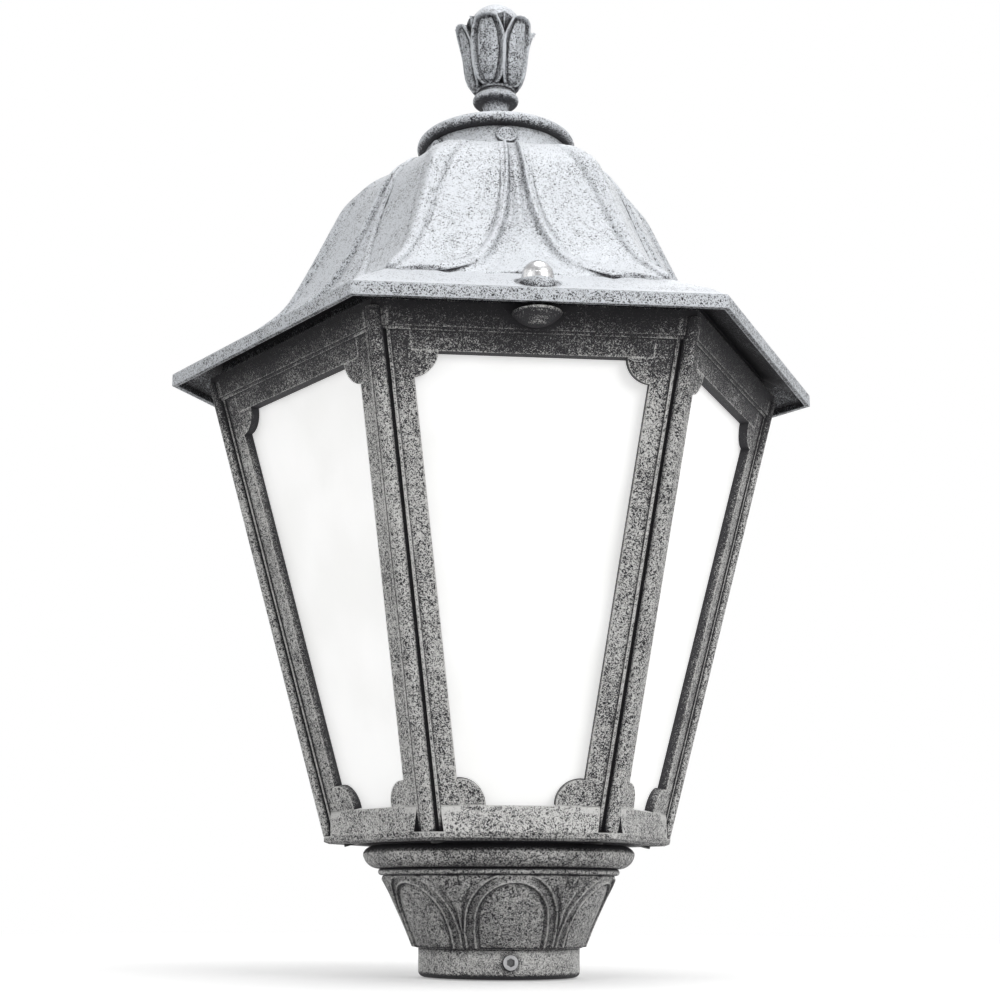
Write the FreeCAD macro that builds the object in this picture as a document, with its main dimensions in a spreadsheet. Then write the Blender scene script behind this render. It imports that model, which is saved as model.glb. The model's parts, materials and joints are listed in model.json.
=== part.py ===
import FreeCAD, Part
import math
import os
import re
import Sketcher
from FreeCAD import Placement, Rotation, Vector

# Hexagonal post top lantern, in millimetres.
# Origin: centre of the collar's lower edge. +Z up, front face towards -Y, hexagon corners at 0, 60, 120 degrees.

SIDES = 6
HALF_SIDE = 180.0 / SIDES
COS30 = math.cos(math.radians(HALF_SIDE))
EAR_ROOT = 35  # degrees by which a window's corner disc reaches into its stile

DRIVING = {
    # socket that slips over the post
    "post_diameter": 60,
    "post_clearance": 0.3,
    "collar_wall": 2.7,
    "collar_height": 11.7,
    "collar_round": 2.4,
    "socket_wall": 2.2,
    "socket_depth": 44,
    "socket_plate": 3,
    "cable_hole": 20,
    # three grub screws that clamp the post
    "clamp_diameter": 6,
    "clamp_length": 4,
    "clamp_level": 6.7,
    "clamp_key": 3,
    "clamp_key_depth": 2,
    # flared bell over the socket
    "bell_step": 1,
    "bell_flare": 13.7,
    "bell_rise": 28.9,
    "bell_sweep": 0.75,
    "bell_wall": 3,
    "bead_out": 2,
    "bead_rise": 2.7,
    # pan that carries the cage
    "ring_out": 6.6,
    "ring_rise": 9.7,
    "ring_neck_out": 1.7,
    "pan_floor": 3,
    "pan_bore_step": 2.7,
    "hex_floor": 3,
    "pan_corner_out": 2.3,
    "pan_edge_round": 3,
    "sill_out": 3,
    # tapered hexagonal cage, radii over the corners of its flat faces
    "cage_rise": 190,
    "cage_foot_radius": 69.9,
    "cage_head_radius": 121.5,
    "stile_width": 13,
    "stile_thickness": 4,
    "sill_height": 10,
    "head_rail": 8.4,
    "ear_radius": 10,
    "corner_bead_out": 2.5,
    "corner_bead_half": 3,
    "groove_width": 1.2,
    "groove_depth": 1,
    "lip_width": 1.2,
    "lip_out": 0.6,
    "flange_thickness": 2.5,
    "flange_reach": 11.5,
    "slot_seat": 7,
    # panes
    "pane_thickness": 3,
    "pane_play": 0.1,
    "pane_side_gap": 0.5,
    "pane_foot_gap": 1,
    "pane_overlap": 6,
    # ring that closes the cage
    "band_out": 1.2,
    "band_rise": 9.6,
    "ring_cap": 3,
    "ring_land": 5.5,
    "gasket_thickness": 2.5,
    "gasket_margin": 5,
    "gasket_width": 5.5,
    # roof shell, radii over the corners
    "rim_overhang": 16,
    "rim_drop": 4,
    "lip_height": 5,
    "lip_thickness": 2,
    "flange_rise": 15.5,
    "flange_run": 32.7,
    "dome_run": 66.8,
    "dome_rise": 80.8,
    "crown_step": 6,
    "crown_shoulder_share": 0.527,
    "crown_bulge": 7.6,
    "shell_wall": 3,
    "neck_step": 0.5,
    "neck_taper": 2.5,
    "neck_rise": 10.2,
    "neck_wall": 3.5,
    "boss_radius": 3.6,
    "boss_out": 0.9,
    # petals cast on the dome's corners, with borders and midribs, and spears on its faces between them
    "petal_rise": 1,
    "petal_gap_half": 36,
    "petal_gap_head": 2.2,
    "border_rise": 1.6,
    "border_width": 3,
    "border_foot_width": 16.5,
    "midrib_rise": 1.5,
    "midrib_foot_half": 1.5,
    "midrib_head_half": 5.5,
    "spear_rise": 0.8,
    "spear_half": 7,
    "spear_height": 34,
    "ornament_head_gap": 4.5,
    # cap disc and finial
    "disc_overhang": 1.2,
    "disc_thickness": 6,
    "disc_crown": 0.5,
    "stem_radius": 5.6,
    "stem_rise": 18,
    "bead_radius": 10.3,
    "bead_height": 4,
    "bud_foot_radius": 8.3,
    "bud_waist_radius": 14.4,
    "bud_lip_radius": 18,
    "bud_rise": 32,
    "bud_core_radius": 12.5,
    "bud_core_rise": 12,
    # tie rod that holds disc and finial
    "rod_diameter": 6,
    "rod_insertion": 20,
    "rod_below": 12,
    "nut_height": 5,
    "nut_across": 10,
    "washer_radius": 9,
    "washer_thickness": 1.6,
    # hinge at the back of the roof
    "hinge_reach": 6.4,
    "pin_diameter": 4,
    "running_fit": 0.05,
    "knuckle_radius": 3.5,
    "knuckle_width": 24,
    "ear_width": 7,
    "ear_gap": 0.5,
    # captive knob at the front of the roof
    "knob_reach": 5.4,
    "knob_radius": 6.2,
    "knob_base": 2,
    "knob_dome": 6,
    "knob_shank": 5,
    "knob_clearance": 0.3,
    "knob_rise": 5.5,
    "knob_pad_radius": 6.5,
    "knob_pad_depth": 5.5,
    "knob_lift": 5,
    "clip_radius": 4.6,
    "clip_thickness": 1,
    "lug_radius": 9.5,
    "lug_depth": 5,
    "lug_setback": 1.8,
    "insert_radius": 4.1,
    "insert_length": 2.8,
    # screws
    "bolt_diameter": 5,
    "bolt_inset": 4.3,
    "bolt_head_radius": 4.2,
    "bolt_head": 3,
    "bolt_length": 6,
    "post_screw_diameter": 3,
    "post_screw_length": 12,
    "post_screw_head_radius": 2.8,
    "post_screw_head": 2,
    "post_screw_depth": 8,
    "post_screw_sink": 1.5,
    # lampholder and lamp
    "bracket_span": 68,
    "bracket_foot": 12,
    "bracket_width": 16,
    "bracket_sheet": 2,
    "bracket_rise": 12,
    "holder_wall": 3.65,
    "holder_step": 3,
    "holder_rise": 48,
    "holder_socket": 27,
    "holder_waist_rise": 22,
    "contact_radius": 4,
    "contact_rise": 2,
    "lamp_cap_radius": 13.25,
    "lamp_cap_gap": 0.1,
    "lamp_cap_length": 25,
    "lamp_neck_radius": 15,
    "lamp_globe_radius": 30,
    "lamp_length": 108,
    # wiring inside
    "terminal_width": 30,
    "terminal_depth": 12,
    "terminal_height": 12,
    "terminal_gap": 5,
    "terminal_screw_radius": 2,
    "lead_radius": 1.5,
    "lead_spacing": 10,
    "lead_rise": 15,
    "lead_bend": 6,
    "lead_insertion": 4,
    "grommet_bore": 9,
    "grommet_lip": 2.5,
    "grommet_lip_thickness": 1.5,
}

FACE_SLOPE = "(cage_head_radius - cage_foot_radius) / cage_rise"

DERIVED = {
    "bore_radius": "post_diameter / 2 + post_clearance",
    "collar_radius": "bore_radius + collar_wall",
    "tube_radius": "bore_radius + socket_wall",
    "plate_level": "socket_depth + socket_plate",
    "bell_head_level": "collar_height + bell_rise",
    "bell_foot_radius": "collar_radius + bell_step",
    "bell_head_radius": "bell_foot_radius + bell_flare",
    "bell_top_level": "bell_head_level + bead_rise",
    "ring_neck_radius": "bell_head_radius + ring_neck_out",
    "ring_radius": "ring_neck_radius + ring_out",
    "hex_level": "bell_top_level + ring_rise",
    "cage_foot_level": "hex_level + hex_floor",
    "pan_level": "plate_level + pan_floor",
    "pan_bore": "bell_head_radius - pan_bore_step",
    "pan_corner": "cage_foot_radius + pan_corner_out",
    "bolt_circle": "bore_radius - bolt_inset",
    "face_slope": FACE_SLOPE,
    "face_lean": "sqrt(1 + (%.7f * face_slope) ^ 2)" % COS30,
    "sill_level": "cage_foot_level + sill_height",
    "cage_head_level": "cage_foot_level + cage_rise",
    "band_level": "cage_head_level - band_rise + 4",
    "rail_level": "band_level - head_rail",
    "ring_top_level": "band_level + band_rise",
    "post_top_level": "ring_top_level - ring_cap",
    "slot_depth": "stile_thickness + pane_thickness + 2 * pane_play",
    "ring_top_radius": ("cage_foot_radius + (ring_top_level - cage_foot_level) * face_slope"
                        " + band_out / %.7f" % COS30),
    "gasket_outer_radius": "ring_top_radius - gasket_margin",
    "gasket_inner_radius": "gasket_outer_radius - gasket_width",
    "ring_inner_radius": "gasket_inner_radius - ring_land",
    "rim_radius": "ring_top_radius + rim_overhang",
    "dome_foot_radius": "rim_radius - flange_run",
    "dome_head_radius": "dome_foot_radius - dome_run",
    "crown_radius": "dome_head_radius - crown_step",
    "crown_shoulder_radius": "dome_head_radius + crown_shoulder_share * dome_run",
    "crown_shoulder_drop": "(1 - crown_shoulder_share) * dome_rise",
    "neck_radius": "crown_radius - neck_step",
    "neck_head_radius": "neck_radius - neck_taper",
    "disc_radius": "neck_radius + disc_overhang",
    "rim_level": "ring_top_level - rim_drop",
    "lip_level": "rim_level + lip_height",
    "dome_level": "lip_level + flange_rise",
    "neck_level": "dome_level + dome_rise",
    "ornament_level": "dome_level - 2",
    "ornament_height": "dome_rise - ornament_head_gap + 2",
    "neck_top_level": "neck_level + neck_rise",
    "disc_top_level": "neck_top_level + disc_thickness",
    "finial_level": "disc_top_level + disc_crown",
    "bud_level": "finial_level + stem_rise + bead_height",
    "bud_top_level": "bud_level + bud_rise",
    "hinge_level": "rim_level",
    "hinge_offset": "%.7f * ring_top_radius + hinge_reach" % COS30,
    "knob_offset": "%.7f * ring_top_radius + knob_reach" % COS30,
    "lug_offset": "knob_offset - lug_setback",
    "knob_level": "lip_level + knob_rise",
    "knob_pad_foot": "knob_level - knob_pad_depth",
    "clip_level": "knob_pad_foot - knob_lift - clip_thickness",
    "lug_top_level": "clip_level - 0.2",
    "bridge_level": "pan_level + bracket_rise",
    "holder_level": "bridge_level + bracket_sheet",
    "holder_waist_radius": "lamp_cap_radius + lamp_cap_gap + holder_wall",
    "holder_radius": "holder_waist_radius + holder_step",
    "terminal_offset": "holder_radius + terminal_gap",
    "holder_top_level": "holder_level + holder_rise",
    "lamp_level": "holder_top_level - lamp_cap_length",
}

# Ogee of the roof: height above its foot against radius above its head, both as shares
DOME_SHAPE = ((0, 1), (0.117, 0.825), (0.291, 0.666), (0.489, 0.542), (0.687, 0.425), (0.859, 0.29),
              (0.955, 0.13), (1, 0.01))

doc = FreeCAD.newDocument("post_top_lantern")
sheet = doc.addObject("Spreadsheet::Sheet", "Sizes")
nodes = {}


# ---------------------------------------------------------------- helpers

def fill_sheet():
    """Write the driving sizes, then the sizes that follow from them, each under its alias."""
    row = 1
    for alias, value in list(DRIVING.items()) + [(k, "=" + v) for k, v in DERIVED.items()]:
        sheet.set("A%d" % row, alias)
        sheet.set("B%d" % row, str(value))
        sheet.setAlias("B%d" % row, alias)
        row += 1
    doc.recompute()


def ex(text):
    """An expression with the sheet's name set before each alias."""
    def scoped(match):
        word = match.group(0)
        return "Sizes." + word if word in ALIASES else word

    return re.sub(r"[a-z][a-z_0-9]*[a-z0-9]", scoped, text)


def num(text):
    """The value of an expression of aliases."""
    value = sheet.evalExpression(ex(str(text)))
    return float(getattr(value, "Value", value))


def bind(item, **sizes):
    """Bind properties of an object to expressions of aliases."""
    for name, text in sizes.items():
        item.setExpression(name.replace("__", "."), ex(text))
    return item


def node(label, item):
    """Register the finished object of a sub-part under its node name."""
    item.Label = label
    nodes[label] = item
    return item


def origin_plane(body, role):
    return next(f for f in body.Origin.OriginFeatures if f.Role == role)


def turn(angle, x="0", y="0", z="0", tilt=None):
    """Placement turned about Z by an angle, after a shift and an optional tilt (axis, degrees) at the start."""
    start = Placement(Vector(num(x), num(y), num(z)), Rotation(*tilt) if tilt else Rotation())
    return Placement(Vector(), Rotation(Vector(0, 0, 1), angle)).multiply(start)


def pin_point(sketch, geometry, position, x, y):
    """Dimension one point of a sketch from its origin."""
    for kind, text, axis in (("DistanceX", x, -2), ("DistanceY", y, -1)):
        value = num(text)
        if abs(value) < 1e-9:
            sketch.addConstraint(Sketcher.Constraint("PointOnObject", geometry, position, axis))
            continue
        index = sketch.addConstraint(Sketcher.Constraint(kind, -1, 1, geometry, position, value))
        sketch.setExpression("Constraints[%d]" % index, ex(text))


def draw(sketch, corners):
    """Closed outline through corners (x, y); (x, y, mid_x, mid_y) leads on by an arc through the mid-point."""
    points = [Vector(num(c[0]), num(c[1]), 0) for c in corners]
    ends = []
    for i, corner in enumerate(corners):
        start, end = points[i], points[(i + 1) % len(points)]
        if len(corner) == 2:
            index = sketch.addGeometry(Part.LineSegment(start, end))
            ends.append((index, 1, 2))
            continue
        middle = Vector(num(corner[2]), num(corner[3]), 0)
        index = sketch.addGeometry(Part.Arc(start, middle, end))
        anticlockwise = (middle - start).cross(end - start).z > 0
        ends.append((index, 1, 2) if anticlockwise else (index, 2, 1))
    for i, (index, first, last) in enumerate(ends):
        following = ends[(i + 1) % len(ends)]
        sketch.addConstraint(Sketcher.Constraint("Coincident", index, last, following[0], following[1]))
        pin_point(sketch, index, first, corners[i][0], corners[i][1])
    for i, corner in enumerate(corners):
        if len(corner) == 4:
            middle = sketch.addGeometry(Part.Point(Vector(num(corner[2]), num(corner[3]), 0)), True)
            pin_point(sketch, middle, 1, corner[2], corner[3])
            sketch.addConstraint(Sketcher.Constraint("PointOnObject", middle, 1, ends[i][0]))


def sketch_on(body, role, corners):
    sketch = body.newObject("Sketcher::SketchObject", body.Name + "_outline")
    sketch.AttachmentSupport = (origin_plane(body, role), [""])
    sketch.MapMode = "FlatFace"
    draw(sketch, corners)
    return sketch


def domed(radius, foot, rise):
    """Two corners of a turned outline: a spherical cap from its rim up (or down) to the axis."""
    sphere = "((%s) ^ 2 + (%s) ^ 2) / (2 * abs(%s))" % (radius, rise, rise)
    sign = "(%s) / abs(%s)" % (rise, rise)
    middle = "%s + %s - %s * (%s - sqrt((%s) ^ 2 - (%s) ^ 2 / 4))" % (foot, rise, sign, sphere, sphere, radius)
    return [(radius, foot, "(%s) / 2" % radius, middle), ("0", "%s + %s" % (foot, rise))]


def turned(name, corners, placement=None):
    """A body of revolution about its own Z axis, from an outline of radius and height."""
    body = doc.addObject("PartDesign::Body", name)
    sketch = sketch_on(body, "XZ_Plane", corners)
    revolution = body.newObject("PartDesign::Revolution", name + "_turning")
    revolution.Profile = sketch
    revolution.ReferenceAxis = (sketch, ["V_Axis"])
    revolution.Angle = 360
    if placement:
        body.Placement = placement
    return body


def plate(name, corners, depth, placement=None, role="XY_Plane", direction=None, midplane=False):
    """A body padded from one outline; a direction slants the pad while its depth stays square to the sketch."""
    body = doc.addObject("PartDesign::Body", name)
    sketch = sketch_on(body, role, corners)
    pad = body.newObject("PartDesign::Pad", name + "_pad")
    pad.Profile = sketch
    bind(pad, Length=depth)
    pad.Midplane = midplane
    if direction:
        pad.UseCustomVector = True
        pad.Direction = direction
        pad.AlongSketchNormal = True
    if placement:
        body.Placement = placement
    return body


def cylinder(name, radius, height, placement=None):
    item = doc.addObject("Part::Cylinder", name)
    bind(item, Radius=radius, Height=height)
    if placement:
        item.Placement = placement
    return item


def box(name, length, width, height, x, y, z):
    """A box centred on x and y that stands on z."""
    item = doc.addObject("Part::Box", name)
    bind(item, Length=length, Width=width, Height=height)
    item.Placement.Base = Vector(num(x) - num(length) / 2, num(y) - num(width) / 2, num(z))
    return item


def hex_prism(name, radius, height, level):
    item = doc.addObject("Part::Prism", name)
    item.Polygon = SIDES
    bind(item, Circumradius=radius, Height=height, Placement__Base__z=level)
    return item


def hex_loft(name, sections, ruled=True):
    """A solid through level hexagons (radius over corners, level)."""
    outlines = []
    for i, (radius, level) in enumerate(sections):
        outline = doc.addObject("Part::RegularPolygon", "%s_section_%d" % (name, i))
        outline.Polygon = SIDES
        bind(outline, Circumradius=radius, Placement__Base__z=level)
        outlines.append(outline)
    loft = doc.addObject("Part::Loft", name)
    loft.Sections = outlines
    loft.Solid = True
    loft.Ruled = ruled
    return loft


def joined(kind, name, items):
    item = doc.addObject(kind, name)
    if kind == "Part::Compound":
        item.Links = items
    else:
        item.Shapes = items
    return item


def fuse(name, items):
    return joined("Part::MultiFuse", name, items)


def common(name, items):
    return joined("Part::MultiCommon", name, items)


def group(name, items):
    return joined("Part::Compound", name, items)


def cut(name, base, tool):
    item = doc.addObject("Part::Cut", name)
    item.Base = base
    item.Tool = tool
    return item


def headed_screw(name, radius, length, head_radius, head, placement):
    """A cylindrical head on a plain shank; the head stands above the body's origin, the shank below."""
    corners = [("0", "-(%s)" % length), (radius, "-(%s)" % length), (radius, "0"), (head_radius, "0"),
               (head_radius, head), ("0", head)]
    return turned(name, corners, placement)


# ---------------------------------------------------------------- socket, bell and pan

def clamp_placement(k):
    """Grub screw k on its radial axis, with its own Z axis pointing outwards from the bore's wall."""
    angle = -90 + 120 * k
    out = Rotation(Vector(0, 1, 0), 90)
    start = Placement(Vector(num("bore_radius"), 0, num("clamp_level")), out)
    return Placement(Vector(), Rotation(Vector(0, 0, 1), angle)).multiply(start)


def make_clamp_screws():
    """Grub screws with a hexagon key hole, backed out flush with the bore."""
    holes = []
    for k in range(3):
        stem = cylinder("clamp_stem_%d" % k, "clamp_diameter / 2 - running_fit", "clamp_length", clamp_placement(k))
        key = doc.addObject("Part::Prism", "clamp_key_%d" % k)
        key.Polygon = 6
        bind(key, Circumradius="clamp_key / 2 / %.7f" % COS30, Height="clamp_key_depth")
        lift = Placement(Vector(0, 0, num("clamp_length - clamp_key_depth")), Rotation())
        key.Placement = clamp_placement(k).multiply(lift)
        node("clamp_screw_%d" % (k + 1), cut("clamp_screw_%d" % (k + 1), stem, key))
        inward = Placement(Vector(0, 0, -1), Rotation())
        holes.append(cylinder("clamp_hole_%d" % k, "clamp_diameter / 2", "collar_wall + 3",
                              clamp_placement(k).multiply(inward)))
    return fuse("clamp_holes", holes)


def make_socket(clamp_holes, bolts):
    """Metal sleeve for the post, with an outer collar band and a top plate."""
    corners = [("bore_radius", "0"),
               ("collar_radius - collar_round", "0",
                "collar_radius - 0.293 * collar_round", "0.293 * collar_round"),
               ("collar_radius", "collar_round"), ("collar_radius", "collar_height"),
               ("tube_radius", "collar_height"),
               ("tube_radius", "plate_level"), ("cable_hole / 2", "plate_level"),
               ("cable_hole / 2", "socket_depth + grommet_lip_thickness"),
               ("cable_hole / 2 + grommet_lip", "socket_depth + grommet_lip_thickness"),
               ("cable_hole / 2 + grommet_lip", "socket_depth"), ("bore_radius", "socket_depth")]
    sleeve = turned("socket_sleeve", corners)
    node("post_socket", cut("post_socket", sleeve, fuse("socket_holes", [clamp_holes, bolts])))


def make_bell():
    """Flared skirt between the collar and the pan, with a bead at its head."""
    mid_radius = "bell_foot_radius + bell_flare / 2 - bell_sweep"
    mid_level = "collar_height + bell_rise / 2"
    corners = [("tube_radius", "collar_height"),
               ("bell_foot_radius", "collar_height", mid_radius, mid_level),
               ("bell_head_radius", "bell_head_level"),
               ("bell_head_radius + bead_out - bead_rise / 2", "bell_head_level",
                "bell_head_radius + bead_out", "bell_head_level + bead_rise / 2"),
               ("bell_head_radius + bead_out - bead_rise / 2", "bell_top_level"),
               ("bell_head_radius - bell_wall", "bell_top_level"),
               ("bell_head_radius - bell_wall", "bell_head_level",
                mid_radius + " - bell_wall", mid_level),
               ("bell_foot_radius + 0.2", "collar_height + 3 * bell_step"),
               ("tube_radius", "collar_height + 2 * bell_step")]
    node("base_bell", turned("base_bell", corners))


def make_bolts():
    """Three cap screws from the pan's floor into the socket's plate."""
    bolts = []
    for k in range(3):
        place = turn(30 + 120 * k, x="bolt_circle", z="pan_level")
        bolts.append(headed_screw("bolt_%d" % k, "bolt_diameter / 2", "bolt_length", "bolt_head_radius",
                                  "bolt_head", place))
    return node("socket_bolts", group("socket_bolts", bolts))


def face_radius(level):
    """Radius over the corners of the cage's flat faces at a level."""
    return "cage_foot_radius + (%s - cage_foot_level) * face_slope" % level


def make_pan(feet_room, screws, bolts):
    """Pan with a round ring below, a hexagonal floor, and a sill under each window."""
    dish = turned("pan_dish", [
        ("cable_hole / 2", "plate_level"), ("pan_bore", "plate_level"), ("pan_bore", "bell_top_level"),
        ("ring_neck_radius", "bell_top_level",
         "ring_neck_radius + 0.72 * ring_out", "bell_top_level + 0.2 * ring_rise"),
        ("ring_radius", "bell_top_level + 0.62 * ring_rise",
         "ring_radius - 0.25 * ring_out", "bell_top_level + 0.85 * ring_rise"),
        ("ring_radius - 0.5 * ring_out", "bell_top_level + 0.93 * ring_rise"),
        ("ring_radius - 0.5 * ring_out", "cage_foot_level"), ("pan_bore + 4", "cage_foot_level"),
        ("pan_bore - 3", "pan_level"), ("cable_hole / 2", "pan_level")])
    hex_radius = "(%.7f * cage_foot_radius + sill_out) / %.7f" % (COS30, COS30)
    slab = hex_loft("pan_slab", [
        (hex_radius + " - 1.1 * pan_edge_round", "hex_level"),
        (hex_radius + " - 0.3 * pan_edge_round", "hex_level + 0.3 * pan_edge_round"),
        (hex_radius, "hex_level + pan_edge_round"),
    ])
    bind(doc.getObject("pan_slab_section_2"), Placement__Base__z="cage_foot_level")
    rounding = cylinder("pan_rounding", "pan_corner", "hex_floor", turn(0, z="hex_level"))
    floor = common("pan_hex_floor", [slab, rounding])
    well = cylinder("pan_well", "pan_bore + 4", "hex_floor + 2", turn(0, z="hex_level - 1"))
    hex_floor = cut("pan_floor_ring", floor, well)
    sill = hex_loft("sill_outside", [
        (hex_radius, "cage_foot_level"), (face_radius("sill_level"), "sill_level")])
    behind = " - stile_thickness * face_lean / %.7f" % COS30
    hollow = hex_loft("sill_inside", [(face_radius("cage_foot_level") + behind, "cage_foot_level"),
                                      (face_radius("sill_level") + behind, "sill_level")])
    sills = cut("pan_sills", cut("sill_ring", sill, hollow), feet_room)
    whole = fuse("pan_whole", [dish, hex_floor, sills])
    node("bottom_pan", cut("bottom_pan", whole, fuse("pan_holes", [screws, bolts])))


# ---------------------------------------------------------------- cage

def on_face(along, out, side):
    """Corner section point: a distance along a face from the hexagon's corner, and a distance out of that face."""
    x = "-0.5 * (%s) + %.7f * face_lean * (%s)" % (along, COS30, out)
    y = "%d * (%.7f * (%s) + 0.5 * face_lean * (%s))" % (side, COS30, along, out)
    return x, y


def lean_direction():
    """Direction of a cage corner, in the plane of its azimuth."""
    return Vector(num("cage_head_radius - cage_foot_radius"), 0, num("cage_rise"))


def corner_section():
    """Outline of a corner post: round bead, groove, lip, stile, pane slot and inner flange on each side."""
    slot_end = "flange_reach"
    side = [
        ("corner_bead_half", "0"), ("corner_bead_half", "-groove_depth"),
        ("corner_bead_half + groove_width", "-groove_depth"), ("corner_bead_half + groove_width", "lip_out"),
        ("corner_bead_half + groove_width + lip_width", "lip_out"),
        ("corner_bead_half + groove_width + lip_width", "0"),
        ("stile_width", "0"), ("stile_width", "-stile_thickness"),
        ("slot_seat", "-stile_thickness"), ("slot_seat", "-slot_depth"),
        (slot_end, "-slot_depth"), (slot_end, "-slot_depth - flange_thickness"),
    ]
    right = [on_face(along, out, 1) for along, out in side]
    left = [on_face(along, out, -1) for along, out in reversed(side)]
    bead = left[-1] + ("corner_bead_out", "0")
    return right + left[:-1] + [bead]


def ear(name, i, hand, level, angle, start):
    """Quarter disc in a window's corner, in the plane of the stile."""
    half = "(%s) / 2 - stile_width" % face_radius(level)
    item = doc.addObject("Part::Cylinder", name)
    bind(item, Radius="ear_radius", Height="stile_thickness")
    item.Angle = angle
    item.Placement = face_placement(i, level, "%d * (%s)" % (hand, half), "-stile_thickness", start)
    return item


def face_tilt():
    """Angle of a cage face from the vertical, in degrees."""
    return math.degrees(math.atan(COS30 * num("face_slope")))


def face_placement(i, level, along="0", out="0", spin=0):
    """Placement whose Z points out of face i and Y up its slope, at a level, along and out of the face."""
    tilted = Rotation(Vector(1, 0, 0), 90 + face_tilt())
    base = Vector(0, -COS30 * num(face_radius(level)), num(level))
    start = Placement(base, tilted)
    local = Placement(Vector(num(along), 0, num(out)), Rotation(Vector(0, 0, 1), spin))
    return Placement(Vector(), Rotation(Vector(0, 0, 1), 60 * i)).multiply(start).multiply(local)


def stile_lean():
    """Angle of a stile from its face's own slope line, in degrees."""
    return math.degrees(math.atan(0.5 * num("face_slope") / num("face_lean")))


def post_placement(k):
    return turn(60 * k, x="cage_foot_radius", z="cage_foot_level")


def make_posts(screws):
    """Six corner posts with their stiles, the four ears of each post among them."""
    posts = []
    for k in range(SIDES):
        name = "corner_post_%d" % (k + 1)
        stem = plate(name + "_stem", corner_section(), "post_top_level - cage_foot_level", post_placement(k),
                     direction=lean_direction())
        # face i lies between the corners at 240 + 60 i and 300 + 60 i degrees
        right_face, left_face = k - 4, k - 5
        lean = stile_lean()
        low, high = 90 + lean + EAR_ROOT, 90 - lean + EAR_ROOT
        ears = [
            ear(name + "_ear_a", right_face, -1, "sill_level", low, 0),
            ear(name + "_ear_b", right_face, -1, "rail_level", high, -high),
            ear(name + "_ear_c", left_face, 1, "sill_level", low, 180 - low),
            ear(name + "_ear_d", left_face, 1, "rail_level", high, 180),
        ]
        whole = fuse(name + "_whole", [stem] + ears)
        posts.append(node(name, cut(name, whole, screws)))
    return posts


def make_envelopes():
    """Corner prisms that the posts and their faces' margins take up, for clearing the rails."""
    section = [on_face("0", "4 * stile_thickness", 1), on_face("stile_width", "2 * stile_thickness", 1),
               on_face("stile_width", "-3 * stile_thickness", 1), on_face("stile_width", "-3 * stile_thickness", -1),
               on_face("stile_width", "2 * stile_thickness", -1)]
    section[0] = ("4 * stile_thickness", "0")
    items = [plate("post_envelope_%d" % k, section, "post_top_level - cage_foot_level", post_placement(k),
                   direction=lean_direction()) for k in range(SIDES)]
    return fuse("post_envelopes", items)


def make_feet_room():
    """Corner prisms for the posts' feet: only the bead, its grooves and its lips pass through a sill's front."""
    side = [("corner_bead_half + groove_width + lip_width + 2 * running_fit", "2 * stile_thickness"),
            ("corner_bead_half + groove_width + lip_width + 2 * running_fit", "0"),
            ("stile_width", "0"), ("stile_width", "-3 * stile_thickness")]
    right = [on_face(along, out, 1) for along, out in side]
    left = [on_face(along, out, -1) for along, out in reversed(side)]
    section = right + left + [("4 * stile_thickness", "0")]
    items = [plate("foot_room_%d" % k, section, "post_top_level - cage_foot_level", post_placement(k),
                   direction=lean_direction()) for k in range(SIDES)]
    return fuse("feet_room", items)


def make_post_screws(end):
    """Six screws along the posts' axes, heads below the pan or in the ring's top."""
    slant = math.degrees(math.atan(num("face_slope")))
    items = []
    for k in range(SIDES):
        if end == "lower":
            level = "hex_level + post_screw_sink"
            x = "cage_foot_radius - post_screw_depth - (hex_floor - post_screw_sink) * face_slope"
            flip = 180
        else:
            level = "ring_top_level - post_screw_head - 1"
            x, flip = face_radius(level) + " - post_screw_depth", 0
        place = turn(60 * k, x=x, z=level, tilt=(Vector(0, 1, 0), slant + flip))
        items.append(headed_screw("post_screw_%s_%d" % (end, k), "post_screw_diameter / 2", "post_screw_length",
                                  "post_screw_head_radius", "post_screw_head", place))
    return node("post_screws_" + end, group("post_screws_" + end, items))


def make_panes():
    """Six trapezoid panes behind the stiles, standing on the pan."""
    foot, head = "cage_foot_level + pane_foot_gap", "rail_level + pane_overlap"
    rise = "(%s - (%s)) * face_lean" % (head, foot)
    margin = "slot_seat + pane_side_gap"
    low, high = ["(%s) / 2 - (%s)" % (face_radius("(%s)" % level), margin) for level in (foot, head)]
    corners = [("-(%s)" % low, "0"), (low, "0"), (high, rise), ("-(%s)" % high, rise)]
    for i in range(SIDES):
        place = face_placement(i, foot, "0", "-stile_thickness - pane_play - pane_thickness")
        node("pane_%d" % (i + 1), plate("pane_%d" % (i + 1), corners, "pane_thickness", place))


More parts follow.
